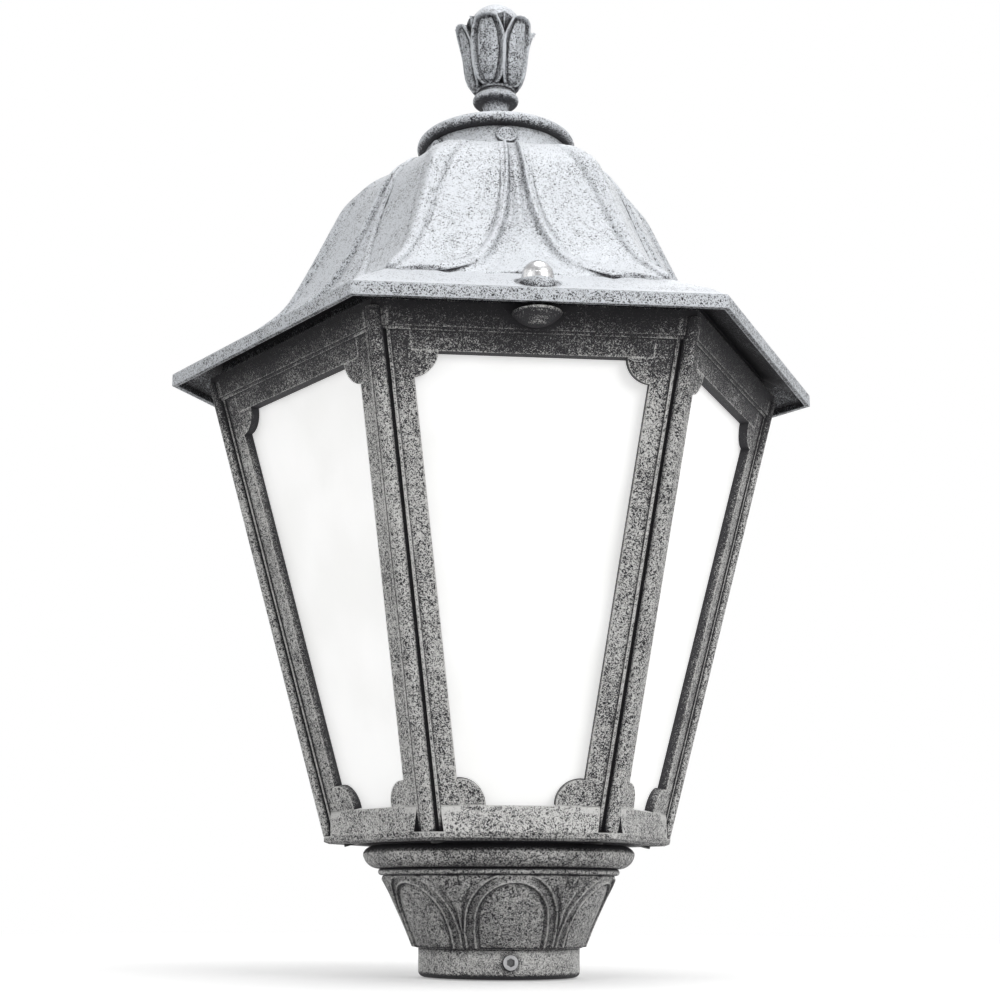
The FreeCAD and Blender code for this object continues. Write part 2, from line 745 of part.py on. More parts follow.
def make_top_ring(posts, envelopes, screws):
    """Ring over the posts: head rails with a lip, moulded band, hinge ears and the knob's lug."""
    behind = " - stile_thickness * face_lean / %.7f" % COS30
    rail = cut("rail_ring", hex_loft("rail_outside", [(face_radius("rail_level"), "rail_level"),
                                                      (face_radius("band_level"), "band_level")]),
               hex_loft("rail_inside", [(face_radius("rail_level") + behind, "rail_level"),
                                        (face_radius("band_level") + behind, "band_level")]))
    rails = cut("head_rails", rail, envelopes)
    lip_foot = "band_level - lip_width"
    lip = hex_loft("lip_outside", [(face_radius("(%s)" % lip_foot) + " + lip_out / %.7f" % COS30, lip_foot),
                                   (face_radius("band_level") + " + lip_out / %.7f" % COS30, "band_level")])
    lip_hollow = hex_prism("lip_inside", face_radius("(%s)" % lip_foot) + behind, "2 * lip_width",
                           lip_foot + " - lip_width / 2")
    proud = " + band_out / %.7f" % COS30
    band = hex_loft("band_outside", [(face_radius("band_level") + proud, "band_level"),
                                     (face_radius("ring_top_level") + proud, "ring_top_level")])
    opening = hex_prism("ring_opening", "ring_inner_radius", "2 * band_rise", "band_level - band_rise / 2")
    lug = turned("knob_lug", domed("lug_radius", "lug_top_level", "-lug_depth") + [("0", "lug_top_level")],
                 turn(-90, x="lug_offset"))
    hinge_ears = [hinge_ear(side) for side in (-1, 1)]
    outside = fuse("ring_outside", [rails, cut("ring_lip", lip, lip_hollow), cut("ring_band", band, opening),
                                    lug] + hinge_ears)
    insert_hole = cylinder("insert_hole", "insert_radius", "insert_length + 1",
                           turn(-90, x="knob_offset", z="lug_top_level - insert_length"))
    tip_hole = cylinder("tip_hole", "knob_shank / 2 + knob_clearance", "lug_depth",
                        turn(-90, x="knob_offset", z="lug_top_level - insert_length - 1"))
    pin = pin_cylinder("ear_pin_hole", "pin_diameter / 2", "knuckle_width + 2 * ear_gap + 2 * ear_width + 10")
    tools = fuse("ring_holes", posts + [screws, insert_hole, tip_hole, pin])
    node("top_ring", cut("top_ring", outside, tools))


def pin_cylinder(name, radius, length):
    """A cylinder on the hinge's axis, centred on the lantern."""
    start = Vector(-num(length) / 2, num("hinge_offset"), num("hinge_level"))
    return cylinder(name, radius, length, Placement(start, Rotation(Vector(0, 1, 0), 90)))


def hinge_ear(side):
    """One ear of the ring that carries the hinge pin."""
    name = "hinge_ear_%s" % ("left" if side < 0 else "right")
    centre = "%d * (knuckle_width / 2 + ear_gap + ear_width / 2)" % side
    eye = pin_cylinder(name + "_eye", "knuckle_radius", "ear_width")
    eye.Placement.Base.x = num(centre) - num("ear_width") / 2
    root = "%.7f * (%s)" % (COS30, face_radius("hinge_level"))
    reach = "hinge_offset - (%s) + 4" % root
    arm = box(name + "_arm", "ear_width", reach, "2 * knuckle_radius", centre,
              "hinge_offset - (%s) / 2" % reach, "hinge_level - knuckle_radius")
    return fuse(name, [eye, arm])


def make_hinge_pin():
    length = "knuckle_width + 2 * ear_gap + 2 * ear_width + 1"
    node("hinge_pin", pin_cylinder("hinge_pin", "pin_diameter / 2", length))


def make_gasket():
    outer = hex_prism("gasket_outside", "gasket_outer_radius", "gasket_thickness", "ring_top_level")
    inner = hex_prism("gasket_inside", "gasket_inner_radius", "2 * gasket_thickness",
                      "ring_top_level - gasket_thickness / 2")
    node("roof_gasket", cut("roof_gasket", outer, inner))


# ---------------------------------------------------------------- roof

def dome_sections(inset, drop):
    """Sections of the ogee, moved in and down for the shell's inside."""
    return [("dome_head_radius + %s * (dome_foot_radius - dome_head_radius) - %s" % (share, inset),
             "dome_level + %s * dome_rise - %s" % (height, drop)) for height, share in DOME_SHAPE]


def crown(name, inset, drop):
    """Round crown that clips the hexagon's corners towards the neck."""
    shoulder = "neck_level - crown_shoulder_drop"
    head, foot = "crown_radius - %s" % inset, "crown_shoulder_radius - %s" % inset
    return turned(name, [
        ("0", "dome_level - %s" % drop), ("2 * dome_foot_radius", "dome_level - %s" % drop),
        ("2 * dome_foot_radius", shoulder + " - %s" % drop),
        (foot, shoulder + " - %s" % drop,
         "(crown_radius + crown_shoulder_radius) / 2 + 0.69 * crown_bulge - %s" % inset,
         "neck_level - crown_shoulder_drop / 2 + 0.72 * crown_bulge - %s" % drop),
        (head, "neck_level - %s" % drop), ("0", "neck_level - %s" % drop)])


def dome_height(share):
    """Level at a share of the dome's rise."""
    return "dome_level + %s * dome_rise" % share


def symmetric(side):
    """Closed outline from its right side, foot to head, and the same mirrored to the left."""
    left = []
    for i in range(len(side) - 1, -1, -1):
        corner = ("-(%s)" % side[i][0], side[i][1])
        if i > 0 and len(side[i - 1]) == 4:
            corner += ("-(%s)" % side[i - 1][2], side[i - 1][3])
        left.append(corner)
    return side + left


def bars(name, side, angle):
    """Three bars through the dome, each of them shaping two opposite faces or corners."""
    return fuse(name, [plate("%s_%d" % (name, k), symmetric(side), "3 * dome_foot_radius", turn(angle + 60 * k),
                             "XZ_Plane", midplane=True) for k in range(3)])


def raised_dome(name, rise):
    """The dome's outside moved out and up by a rise, with a skirt down to the flange, up to the ornament's head."""
    out, up = "(0 - %s)" % rise, "(0 - 0.67 * %s)" % rise
    dome = common(name + "_dome", [hex_loft(name + "_loft", dome_sections(out, up), False),
                                   crown(name + "_crown", out, up)])
    skirt = hex_prism(name + "_skirt", "dome_foot_radius + " + rise, "1 + 0.67 * " + rise, "dome_level - 1")
    reach = cylinder(name + "_reach", "2 * dome_foot_radius", "ornament_height", turn(0, z="ornament_level"))
    return common(name, [fuse(name + "_whole", [dome, skirt]), reach])


def petal_edge(foot_extra, extra):
    """Right side of the gap between two petals, set back towards the petals by a width at the foot and above it."""
    gap, head = "petal_gap_half", "petal_gap_head + %s" % extra
    return [
        ("%s + %s" % (gap, foot_extra), "ornament_level"),
        ("%s + %s" % (gap, foot_extra), "dome_level", "0.51 * %s + 1.6 * (%s)" % (gap, extra), dome_height(0.1)),
        ("0.33 * %s + %s" % (gap, extra), dome_height(0.22), "0.18 * %s + %s" % (gap, extra), dome_height(0.41)),
        ("0.105 * %s + %s" % (gap, extra), dome_height(0.65)), (head, "neck_level")]


def dome_ornament():
    """Petals with raised borders and midribs over the dome's corners, and a spear on each face."""
    gaps = bars("petal_gap", petal_edge("0", "0"), 0)
    petals = cut("petals", raised_dome("petal_layer", "petal_rise"), gaps)
    inner = bars("border_inside", petal_edge("border_foot_width", "border_width"), 0)
    border_layer = common("border_zone", [raised_dome("border_layer", "border_rise"), inner])
    borders = cut("petal_borders", border_layer, gaps)
    midrib_side = [("midrib_foot_half", "ornament_level"), ("midrib_head_half", "neck_level")]
    midribs = common("petal_midribs", [raised_dome("midrib_layer", "midrib_rise"),
                                       bars("midrib_bar", midrib_side, 30)])
    spear_side = [("spear_half", "ornament_level"), ("0.5", "dome_level + spear_height")]
    spears = common("dome_spears", [raised_dome("spear_layer", "spear_rise"), bars("spear_bar", spear_side, 0)])
    return [petals, borders, midribs, spears]


def make_roof():
    """Hexagonal roof shell: lip, sloping flange, ogee dome with cast ornament and round neck, hollow below."""
    drop = "0.67 * shell_wall"
    dome = common("dome_outside", [hex_loft("dome_loft", dome_sections("0", "0"), False),
                                   crown("crown_outside", "0", "0")])
    flange = hex_loft("flange_outside", [("rim_radius", "rim_level"), ("rim_radius", "lip_level"),
                                         ("dome_foot_radius", "dome_level")])
    neck = turned("neck_outside", [("0", "neck_level - 6"), ("neck_radius", "neck_level - 6"),
                                   ("neck_radius", "neck_level"), ("neck_head_radius", "neck_top_level"),
                                   ("0", "neck_top_level")])
    bosses = []
    for k in range(SIDES):
        aside = Placement(Vector(num("neck_head_radius - 2"), 0, num("neck_level + neck_rise / 2")),
                          Rotation(Vector(0, 1, 0), 90))
        place = Placement(Vector(), Rotation(Vector(0, 0, 1), 30 + 60 * k)).multiply(aside)
        length = "(neck_radius - neck_head_radius) / 2 + 2 + boss_out"
        bosses.append(cylinder("neck_boss_%d" % k, "boss_radius", length, place))
    outside = fuse("roof_outside", [dome, flange, neck] + dome_ornament() + bosses)

    lip_inside = "rim_radius - lip_thickness / %.7f" % COS30
    flange_hollow = hex_loft("flange_inside", [(lip_inside, "rim_level - 1"),
                                               (lip_inside, "lip_level - %s" % drop),
                                               ("dome_foot_radius - shell_wall", "dome_level - %s" % drop)])
    dome_hollow = common("dome_hollow", [hex_loft("dome_inside", dome_sections("shell_wall", drop), False),
                                         crown("crown_inside", "shell_wall", drop)])
    neck_bore = cylinder("neck_bore", "neck_head_radius - neck_wall", "neck_rise + 20 - neck_wall",
                         turn(0, z="neck_level - 20"))
    rib_foot = "ring_top_level + gasket_thickness"
    rib = cut("seat_rib", hex_prism("rib_outside", "gasket_outer_radius", "flange_rise", rib_foot),
              hex_prism("rib_inside", "gasket_inner_radius", "2 * flange_rise", "ring_top_level"))
    knuckle_web = box("knuckle_web", "knuckle_width", "1.4 * knuckle_radius", "flange_rise",
                      "0", "hinge_offset", "hinge_level")
    at_pad = turn(-90, x="knob_offset", z="knob_pad_foot")
    pad_column = cylinder("knob_pad_column", "knob_pad_radius", "2 * flange_rise", at_pad)
    hollow = cut("roof_hollow", fuse("roof_hollows", [flange_hollow, dome_hollow, neck_bore]),
                 fuse("roof_inner_ribs", [rib, knuckle_web, pad_column]))
    shell = cut("roof_walls", outside, hollow)

    knuckle = pin_cylinder("roof_knuckle", "knuckle_radius", "knuckle_width")
    pad = cylinder("knob_pad", "knob_pad_radius", "knob_pad_depth", at_pad)
    with_bosses = fuse("roof_with_bosses", [shell, knuckle, pad])
    spot_face = cylinder("knob_spot_face", "knob_pad_radius + 0.4", "2 * flange_rise",
                         turn(-90, x="knob_offset", z="knob_level"))
    knob_hole = cylinder("knob_hole", "knob_shank / 2 + knob_clearance", "4 * flange_rise",
                         turn(-90, x="knob_offset", z="knob_pad_foot - flange_rise"))
    rod_hole = cylinder("rod_hole", "rod_diameter / 2", "4 * neck_rise", turn(0, z="neck_level"))
    pin_hole = pin_cylinder("roof_pin_hole", "pin_diameter / 2 + running_fit", "2 * knuckle_width")
    holes = fuse("roof_holes", [spot_face, knob_hole, rod_hole, pin_hole])
    node("roof_shell", cut("roof_shell", with_bosses, holes))


def make_cap_disc():
    """Round disc with a rolled edge on the neck, holding the finial's foot."""
    middle = "neck_top_level + disc_thickness / 2"
    node("cap_disc", turned("cap_disc", [
        ("rod_diameter / 2", "neck_top_level"), ("disc_radius - 3", "neck_top_level"),
        ("disc_radius - 1.5", "neck_top_level + 0.6", "disc_radius", middle),
        ("disc_radius - 1.5", "disc_top_level - 0.4"),
        ("stem_radius + 1.5", "finial_level"), ("rod_diameter / 2", "finial_level")]))


def make_finial():
    """Tulip finial: stem, bead and bud with a flared lip round a domed core."""
    bead_foot = "finial_level + stem_rise"
    node("finial", turned("finial", [
        ("rod_diameter / 2", "finial_level"), ("stem_radius + 1", "finial_level"),
        ("stem_radius", "finial_level + 2"), ("stem_radius", bead_foot),
        ("bead_radius - 2", bead_foot, "bead_radius", bead_foot + " + bead_height / 2"),
        ("bead_radius - 2", "bud_level"), ("bud_foot_radius", "bud_level + 2",
                                           "bud_waist_radius - 0.9", "bud_level + 0.3 * bud_rise"),
        ("bud_waist_radius", "bud_level + 0.5 * bud_rise"),
        ("bud_lip_radius", "bud_top_level")] + domed("bud_core_radius", "bud_top_level", "bud_core_rise") + [
        ("0", "finial_level + rod_insertion"), ("rod_diameter / 2", "finial_level + rod_insertion")]))


def make_tie_rod():
    """Rod, washer and nut that pull the finial and the disc onto the neck."""
    plate_foot = "neck_top_level - neck_wall"
    node("finial_rod", turned("finial_rod", [
        ("0", plate_foot + " - rod_below"), ("rod_diameter / 2", plate_foot + " - rod_below"),
        ("rod_diameter / 2", "finial_level + rod_insertion"), ("0", "finial_level + rod_insertion")]))
    washer_foot = plate_foot + " - washer_thickness"
    node("rod_washer", turned("rod_washer", [
        ("rod_diameter / 2", washer_foot), ("washer_radius", washer_foot), ("washer_radius", plate_foot),
        ("rod_diameter / 2", plate_foot)]))
    blank = hex_prism("nut_blank", "nut_across / 2 / %.7f" % COS30, "nut_height", washer_foot + " - nut_height")
    thread = cylinder("nut_thread", "rod_diameter / 2", "3 * nut_height",
                      turn(0, z=washer_foot + " - 2 * nut_height"))
    node("rod_nut", cut("rod_nut", blank, thread))


# ---------------------------------------------------------------- captive knob

def make_knob():
    """Dome-headed captive screw, its retaining clip and the threaded insert in the lug."""
    at_knob = turn(-90, x="knob_offset")
    shank, tip = "knob_shank / 2", "lug_top_level - insert_length - 0.5"
    node("knob_screw", turned("knob_screw", [
        ("0", tip), (shank + " - 0.5", tip), (shank, tip + " + 0.5"), (shank, "knob_level"),
        ("knob_radius", "knob_level"), ("knob_radius", "knob_level + knob_base")]
        + domed("knob_radius - 0.2", "knob_level + knob_base", "knob_dome"), at_knob))
    bore = shank + " + running_fit"
    node("knob_clip", turned("knob_clip", [
        (bore, "clip_level"), ("clip_radius", "clip_level"), ("clip_radius", "clip_level + clip_thickness"),
        (bore, "clip_level + clip_thickness")], at_knob))
    thread = shank + " + knob_clearance"
    foot = "lug_top_level - insert_length"
    node("knob_insert", turned("knob_insert", [
        (thread, foot), ("insert_radius", foot), ("insert_radius", "lug_top_level"),
        (thread, "lug_top_level")], at_knob))


# ---------------------------------------------------------------- lamp and wiring

def make_bracket():
    """Bridge of folded sheet over the cable entry, with two screws at its feet."""
    foot_end, leg = "bracket_span / 2", "bracket_span / 2 - bracket_foot"
    right = [(foot_end, "pan_level"), (foot_end, "pan_level + bracket_sheet"),
             (leg, "pan_level + bracket_sheet"), (leg, "holder_level")]
    inner = [("-(%s - bracket_sheet)" % leg, "pan_level"), ("-(%s - bracket_sheet)" % leg, "bridge_level"),
             ("%s - bracket_sheet" % leg, "bridge_level"), ("%s - bracket_sheet" % leg, "pan_level")]
    left = [("-(%s)" % x, z) for x, z in reversed(right)]
    sheet_metal = plate("bracket_sheet_metal", right + left + inner, "bracket_width", role="XZ_Plane", midplane=True)
    feet, tops = [], []
    for k in range(2):
        at_foot = turn(180 * k, x="bracket_span / 2 - bracket_foot / 2", z="pan_level + bracket_sheet")
        feet.append(headed_screw("bracket_screw_%d" % k, "1.5", "pan_floor + bracket_sheet - 0.2",
                                 "2.8", "1.8", at_foot))
        at_top = turn(180 * k, x="holder_radius / 2", z="bridge_level", tilt=(Vector(0, 1, 0), 180))
        tops.append(headed_screw("holder_screw_%d" % k, "1.5", "bracket_sheet + 6", "2.8", "1.8", at_top))
    feet_group = node("bracket_screws", group("bracket_screws", feet))
    tops_group = node("lampholder_screws", group("lampholder_screws", tops))
    node("lampholder_bracket", cut("lampholder_bracket", sheet_metal, fuse("bracket_holes", [feet_group, tops_group])))
    return feet_group, tops_group


def make_lampholder(screws, leads):
    """Lampholder with a stepped outside and a round socket for the lamp's cap."""
    bore = "lamp_cap_radius + lamp_cap_gap"
    bore_foot = "holder_top_level - holder_socket"
    outside = turned("holder_outside", [
        ("0", "holder_level"), ("holder_radius", "holder_level"),
        ("holder_radius", "holder_level + holder_waist_rise"),
        ("holder_waist_radius", "holder_level + holder_waist_rise + 3"),
        ("holder_waist_radius", "holder_top_level - 6"), ("holder_waist_radius + 2", "holder_top_level - 6"),
        ("holder_waist_radius + 2", "holder_top_level"), (bore, "holder_top_level"), (bore, bore_foot),
        ("0", bore_foot)])
    node("lampholder", cut("lampholder", outside, fuse("holder_holes", [screws] + leads)))
    node("centre_contact", turned("centre_contact", [
        ("0", bore_foot), ("contact_radius", bore_foot), ("contact_radius - 1.5", bore_foot + " + contact_rise - 0.2"),
        ("0", bore_foot + " + contact_rise - 0.2")]))


def make_lamp():
    """Screw-cap lamp: metal cap and a round globe."""
    top = "lamp_level + lamp_length"
    node("lamp_cap", turned("lamp_cap", [
        ("0", "lamp_level"), ("contact_radius", "lamp_level"), ("lamp_cap_radius - 2", "lamp_level + 3"),
        ("lamp_cap_radius", "lamp_level + 5"), ("lamp_cap_radius", "holder_top_level"), ("0", "holder_top_level")]))
    node("lamp_globe", turned("lamp_globe", [
        ("0", "holder_top_level"), ("lamp_neck_radius", "holder_top_level"),
        ("lamp_neck_radius", "holder_top_level + 6")]
        + domed("lamp_globe_radius", top + " - lamp_globe_radius", "lamp_globe_radius")))


def make_wiring():
    """Terminal block on the pan's floor, its screws, two leads and the grommet in the cable entry."""
    block = box("terminal_blank", "terminal_width", "terminal_depth", "terminal_height",
                "0", "terminal_offset", "pan_level")
    screws = []
    for k in range(2):
        base = Vector(num("terminal_width") / 3 * (2 * k - 1), num("terminal_offset"),
                      num("pan_level + terminal_height"))
        screws.append(headed_screw("terminal_screw_%d" % k, "terminal_screw_radius", "terminal_height / 2",
                                   "terminal_screw_radius + 1", "1", Placement(base, Rotation())))
    screw_group = node("terminal_screws", group("terminal_screws", screws))
    leads = [make_lead(name, side) for name, side in (("lead_live", -1), ("lead_neutral", 1))]
    node("terminal_block", cut("terminal_block", block, fuse("terminal_holes", [screw_group] + leads)))
    bore, neck, lip = "grommet_bore / 2", "cable_hole / 2", "cable_hole / 2 + grommet_lip"
    node("cable_grommet", turned("cable_grommet", [
        (bore, "socket_depth"), (lip, "socket_depth"), (lip, "socket_depth + grommet_lip_thickness"),
        (neck, "socket_depth + grommet_lip_thickness"), (neck, "pan_level"), (lip, "pan_level"),
        (lip, "pan_level + grommet_lip_thickness"), (bore, "pan_level + grommet_lip_thickness")]))
    return leads


def make_lead(name, side):
    """Insulated lead: up out of the terminal block, one bend, and level into the lampholder."""
    x = side * num("lead_spacing") / 2
    y, bend = num("terminal_offset"), num("lead_bend")
    foot = num("pan_level + terminal_height") - num("lead_insertion")
    top = num("pan_level + terminal_height + lead_rise")
    end = math.sqrt(num("holder_radius") ** 2 - x ** 2) - num("lead_insertion")
    corner = Vector(x, y - bend + bend * math.cos(math.pi / 4), top - bend + bend * math.sin(math.pi / 4))
    path = Part.Wire([
        Part.LineSegment(Vector(x, y, foot), Vector(x, y, top - bend)).toShape(),
        Part.Arc(Vector(x, y, top - bend), corner, Vector(x, y - bend, top)).toShape(),
        Part.LineSegment(Vector(x, y - bend, top), Vector(x, end, top)).toShape()])
    section = Part.Wire(Part.Circle(Vector(x, y, foot), Vector(0, 0, 1), num("lead_radius")).toShape())
    item = doc.addObject("Part::Feature", name)
    item.Shape = path.makePipeShell([section], True, True)
    return node(name, item)


# ---------------------------------------------------------------- build, check and write

def build():
    clamp_holes = make_clamp_screws()
    bolts = make_bolts()
    make_socket(clamp_holes, bolts)
    make_bell()
    lower, upper = make_post_screws("lower"), make_post_screws("upper")
    envelopes = make_envelopes()
    feet, tops = make_bracket()
    make_pan(make_feet_room(), lower, fuse("floor_screws", [bolts, feet]))
    posts = make_posts(fuse("post_screws_all", [lower, upper]))
    make_panes()
    make_top_ring(posts, envelopes, upper)
    make_hinge_pin()
    make_gasket()
    make_roof()
    make_cap_disc()
    make_finial()
    make_tie_rod()
    make_knob()
    leads = make_wiring()
    make_lampholder(tops, leads)
    make_lamp()


def check():
    """Stop on any failed object or any sub-part without a valid solid."""
    failed = [o.Name for o in doc.Objects if "Invalid" in o.State or "Error" in o.State]
    if failed:
        raise RuntimeError("failed objects: %s" % ", ".join(failed))
    for label, item in nodes.items():
        shape = item.Shape
        if shape.isNull() or not shape.isValid() or not shape.Solids:
            raise RuntimeError("sub-part without a valid solid: %s" % label)


def write():
    os.makedirs("parts", exist_ok=True)
    for label, item in nodes.items():
        item.Shape.exportStep("parts/%s.step" % label)


ALIASES = set(DRIVING) | set(DERIVED)
fill_sheet()
build()
doc.recompute()
check()
write()
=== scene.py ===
import json
import math
from functools import cached_property

import bpy
import numpy as np
from mathutils import Matrix, Vector
from mathutils.bvhtree import BVHTree


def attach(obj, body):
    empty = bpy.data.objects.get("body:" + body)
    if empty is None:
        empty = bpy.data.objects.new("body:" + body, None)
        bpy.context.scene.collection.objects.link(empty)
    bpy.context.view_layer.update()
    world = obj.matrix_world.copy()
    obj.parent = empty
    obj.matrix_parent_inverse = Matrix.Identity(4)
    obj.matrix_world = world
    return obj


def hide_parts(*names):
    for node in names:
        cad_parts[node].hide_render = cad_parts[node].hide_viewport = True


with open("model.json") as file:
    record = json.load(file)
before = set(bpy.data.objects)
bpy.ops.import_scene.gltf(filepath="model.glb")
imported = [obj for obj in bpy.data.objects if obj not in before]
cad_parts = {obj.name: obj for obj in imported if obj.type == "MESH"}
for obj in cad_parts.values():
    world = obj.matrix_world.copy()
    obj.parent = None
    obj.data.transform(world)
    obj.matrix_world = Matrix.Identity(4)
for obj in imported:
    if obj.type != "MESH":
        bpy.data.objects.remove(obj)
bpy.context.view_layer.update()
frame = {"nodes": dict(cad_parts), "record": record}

MM = 0.001
SECTOR = 60.0
BLACK_CASTING = (0.034, 0.033, 0.037, 1)
# on a plain open face silver shows where the grain and the coverage reach this sum
SILVER_START = 1.135
FACE_AZIMUTH = -90.0
KNOB_AXIS = (0.0, -112.76)


# ---------------------------------------------------------------- shader graphs

class Graph:
    """Node tree of a new material or of a world; the inputs of its nodes take sockets or plain values."""

    def __init__(self, name="", world=None):
        self.owner = world or bpy.data.materials.new(name)
        self.owner.use_nodes = True
        self.tree = self.owner.node_tree
        self.tree.nodes.clear()

    @cached_property
    def coords(self):
        """Object coordinates, in metres."""
        return self.add("ShaderNodeTexCoord").outputs["Object"]

    def add(self, kind, inputs=None, **settings):
        """New node with its settings and inputs."""
        item = self.tree.nodes.new(kind)
        for name, value in settings.items():
            setattr(item, name, value)
        for name, value in (inputs or {}).items():
            socket = item.inputs[name]
            if isinstance(value, bpy.types.NodeSocket):
                self.tree.links.new(value, socket)
            else:
                socket.default_value = value
        return item

    def noise(self, scale, detail=3.0, roughness=0.55, distortion=0.0, coords=None):
        """Cloudy pattern between 0 and 1."""
        item = self.add("ShaderNodeTexNoise", {
            "Vector": coords or self.coords, "Scale": scale, "Detail": detail, "Roughness": roughness,
            "Distortion": distortion})
        return item.outputs["Fac"]

    def math(self, operation, a, b=0.0, c=0.0, clamp=False):
        """Result of an arithmetic operation on up to three inputs."""
        item = self.add("ShaderNodeMath", {0: a, 1: b, 2: c}, operation=operation, use_clamp=clamp)
        return item.outputs[0]

    def span(self, value, low, high, to_low=0.0, to_high=1.0):
        """Value mapped smoothly from one range to another, clamped."""
        item = self.add("ShaderNodeMapRange", {
            "Value": value, "From Min": low, "From Max": high, "To Min": to_low, "To Max": to_high},
            interpolation_type="SMOOTHSTEP")
        return item.outputs["Result"]

    def mix(self, factor, a, b):
        """Colour a where the factor is 0 and b where it is 1."""
        item = self.add("ShaderNodeMix", {"Factor": factor, 6: a, 7: b}, data_type="RGBA")
        return item.outputs[2]

    def edges(self, radius):
        """Near 1 along convex and concave edges, 0 on smooth stretches, and the softened normal."""
        soft = self.add("ShaderNodeBevel", {"Radius": radius}, samples=4).outputs["Normal"]
        true = self.add("ShaderNodeNewGeometry").outputs["Normal"]
        dot = self.add("ShaderNodeVectorMath", {0: soft, 1: true}, operation="DOT_PRODUCT").outputs["Value"]
        return self.span(dot, 1.0, 0.90), soft

    def hollows(self, distance):
        """1 in the open, falling to 0 in corners and grooves narrower than the distance."""
        return self.add("ShaderNodeAmbientOcclusion", {"Distance": distance}, samples=6).outputs["AO"]

    def crests(self, distance):
        """Near 1 on narrow ridges and outer edges, 0 on flat stretches."""
        item = self.add("ShaderNodeAmbientOcclusion", {"Distance": distance},
                        samples=4, inside=True, only_local=True)
        return self.span(item.outputs["AO"], 0.92, 0.45)

    def upward(self):
        """The normal's height: 1 facing up, -1 facing down."""
        normal = self.add("ShaderNodeNewGeometry").outputs["Normal"]
        return self.add("ShaderNodeSeparateXYZ", {0: normal}).outputs["Z"]

    def height(self):
        """Height above the floor, in metres."""
        return self.add("ShaderNodeSeparateXYZ", {0: self.coords}).outputs["Z"]

    def bump(self, height, distance, strength=1.0, normal=None):
        """Normal bent by a pattern of heights; the distance is their depth in metres."""
        inputs = {"Height": height, "Distance": distance, "Strength": strength}
        if normal is not None:
            inputs["Normal"] = normal
        return self.add("ShaderNodeBump", inputs).outputs["Normal"]

    def shows_surroundings(self):
        """1 for the rays that show the surroundings: camera, glossy and transmission rays."""
        path = self.add("ShaderNodeLightPath").outputs
        seen = self.math("MAXIMUM", path["Is Camera Ray"], path["Is Glossy Ray"])
        return self.math("MAXIMUM", seen, path["Is Transmission Ray"])

    def finish(self, **inputs):
        """Principled shader with the given inputs, wired to the output."""
        names = {"colour": "Base Color", "metallic": "Metallic", "roughness": "Roughness", "normal": "Normal",
                 "specular": "Specular IOR Level", "coat": "Coat Weight", "ior": "IOR",
                 "transmission": "Transmission Weight", "glow": "Emission Color",
                 "glow_strength": "Emission Strength"}
        shader = self.add("ShaderNodeBsdfPrincipled", {names[k]: v for k, v in inputs.items()})
        output = self.add("ShaderNodeOutputMaterial")
        self.tree.links.new(shader.outputs["BSDF"], output.inputs["Surface"])
        return self.owner


def shaded(colour, factor=1.0):
    """A colour times a factor, no brighter than white, with its alpha."""
    return tuple(min(1.0, factor * c) for c in colour) + (1,)


def antique_silver(name, coverage, bright, top_light_gain, shade, eaves_shade=0.0):
    """Black casting brushed with silver, with worm-like speckle; its bright edges are painted highlights, its
    dark grooves and undersides painted shade.

    The silver shows where the grain's own pattern and the level together are above 0. The level falls by
    painted shade in sheltered places, under the roof and on faces that look down; it rises by painted light
    on faces that look up and near the foot, and by painted highlights on edges and crests.
    """
    g = Graph(name)
    fine = g.noise(1000, 2.0, 0.55, 0.8)
    finer = g.noise(1900, 2.0, 0.6, 0.3)
    blots = g.noise(330, 3.0, 0.6)
    clouds = g.noise(42, 3.0, 0.55)
    from_middle = g.math("ABSOLUTE", g.math("SUBTRACT", fine, 0.5))
    worms = g.math("MULTIPLY_ADD", from_middle, -8.0, 1.0, clamp=True)
    grain = g.math("MULTIPLY_ADD", worms, 0.24, g.math("MULTIPLY", finer, 0.64))
    grain = g.math("MULTIPLY_ADD", blots, 0.20, grain)
    grain = g.math("MULTIPLY_ADD", clouds, 0.22, grain)

    edge, soft = g.edges(0.0007)
    # painted shade in narrow grooves and in places sheltered by the roof and the pan
    painted_groove_shade = g.span(g.hollows(0.0028), 0.97, 0.45, 0.0, 0.36)
    painted_shelter_shade = g.span(g.hollows(0.045), 0.88, 0.30, 0.0, shade)
    # painted light on faces that look up, painted shade on faces that look down
    up = g.upward()
    rise = g.math("MULTIPLY", g.math("MAXIMUM", up, 0.0), top_light_gain)
    painted_underside_shade = g.math("MULTIPLY", g.math("MINIMUM", up, 0.0), 0.11)
    # painted light near the foot, painted shade under the roof's eaves
    height = g.height()
    painted_foot_light = g.span(height, 0.046, 0.004, 0.0, 0.16)
    painted_eaves_shade = g.span(height, 0.208, 0.238, 0.0, eaves_shade)
    foot = g.math("SUBTRACT", painted_foot_light, painted_eaves_shade)
    # painted highlights on crests and edges, added to the painted light and shade by height
    painted_light_terms = g.math("MULTIPLY_ADD", g.crests(0.001), 0.15, g.math("MULTIPLY_ADD", edge, 0.10, foot))
    level = g.math("ADD", g.math("ADD", rise, painted_underside_shade), g.math("ADD", painted_light_terms, coverage - SILVER_START))
    level = g.math("SUBTRACT", level, g.math("ADD", painted_groove_shade, painted_shelter_shade))

    total = g.math("ADD", grain, level)
    mask = g.span(total, -0.005, 0.09)
    silver = g.mix(g.span(total, 0.0, 0.19), shaded(bright, 0.45), shaded(bright))
    colour = g.mix(mask, BLACK_CASTING, silver)
    rough = g.span(mask, 0.0, 1.0, 0.66, 0.44)
    metal = g.math("MULTIPLY", mask, 0.30)
    grit = g.math("MULTIPLY_ADD", worms, 0.5, g.math("MULTIPLY", blots, 0.9))
    normal = g.bump(grit, 0.00022, 0.8, soft)
    return g.finish(colour=colour, metallic=metal, roughness=rough, normal=normal, specular=0.35)


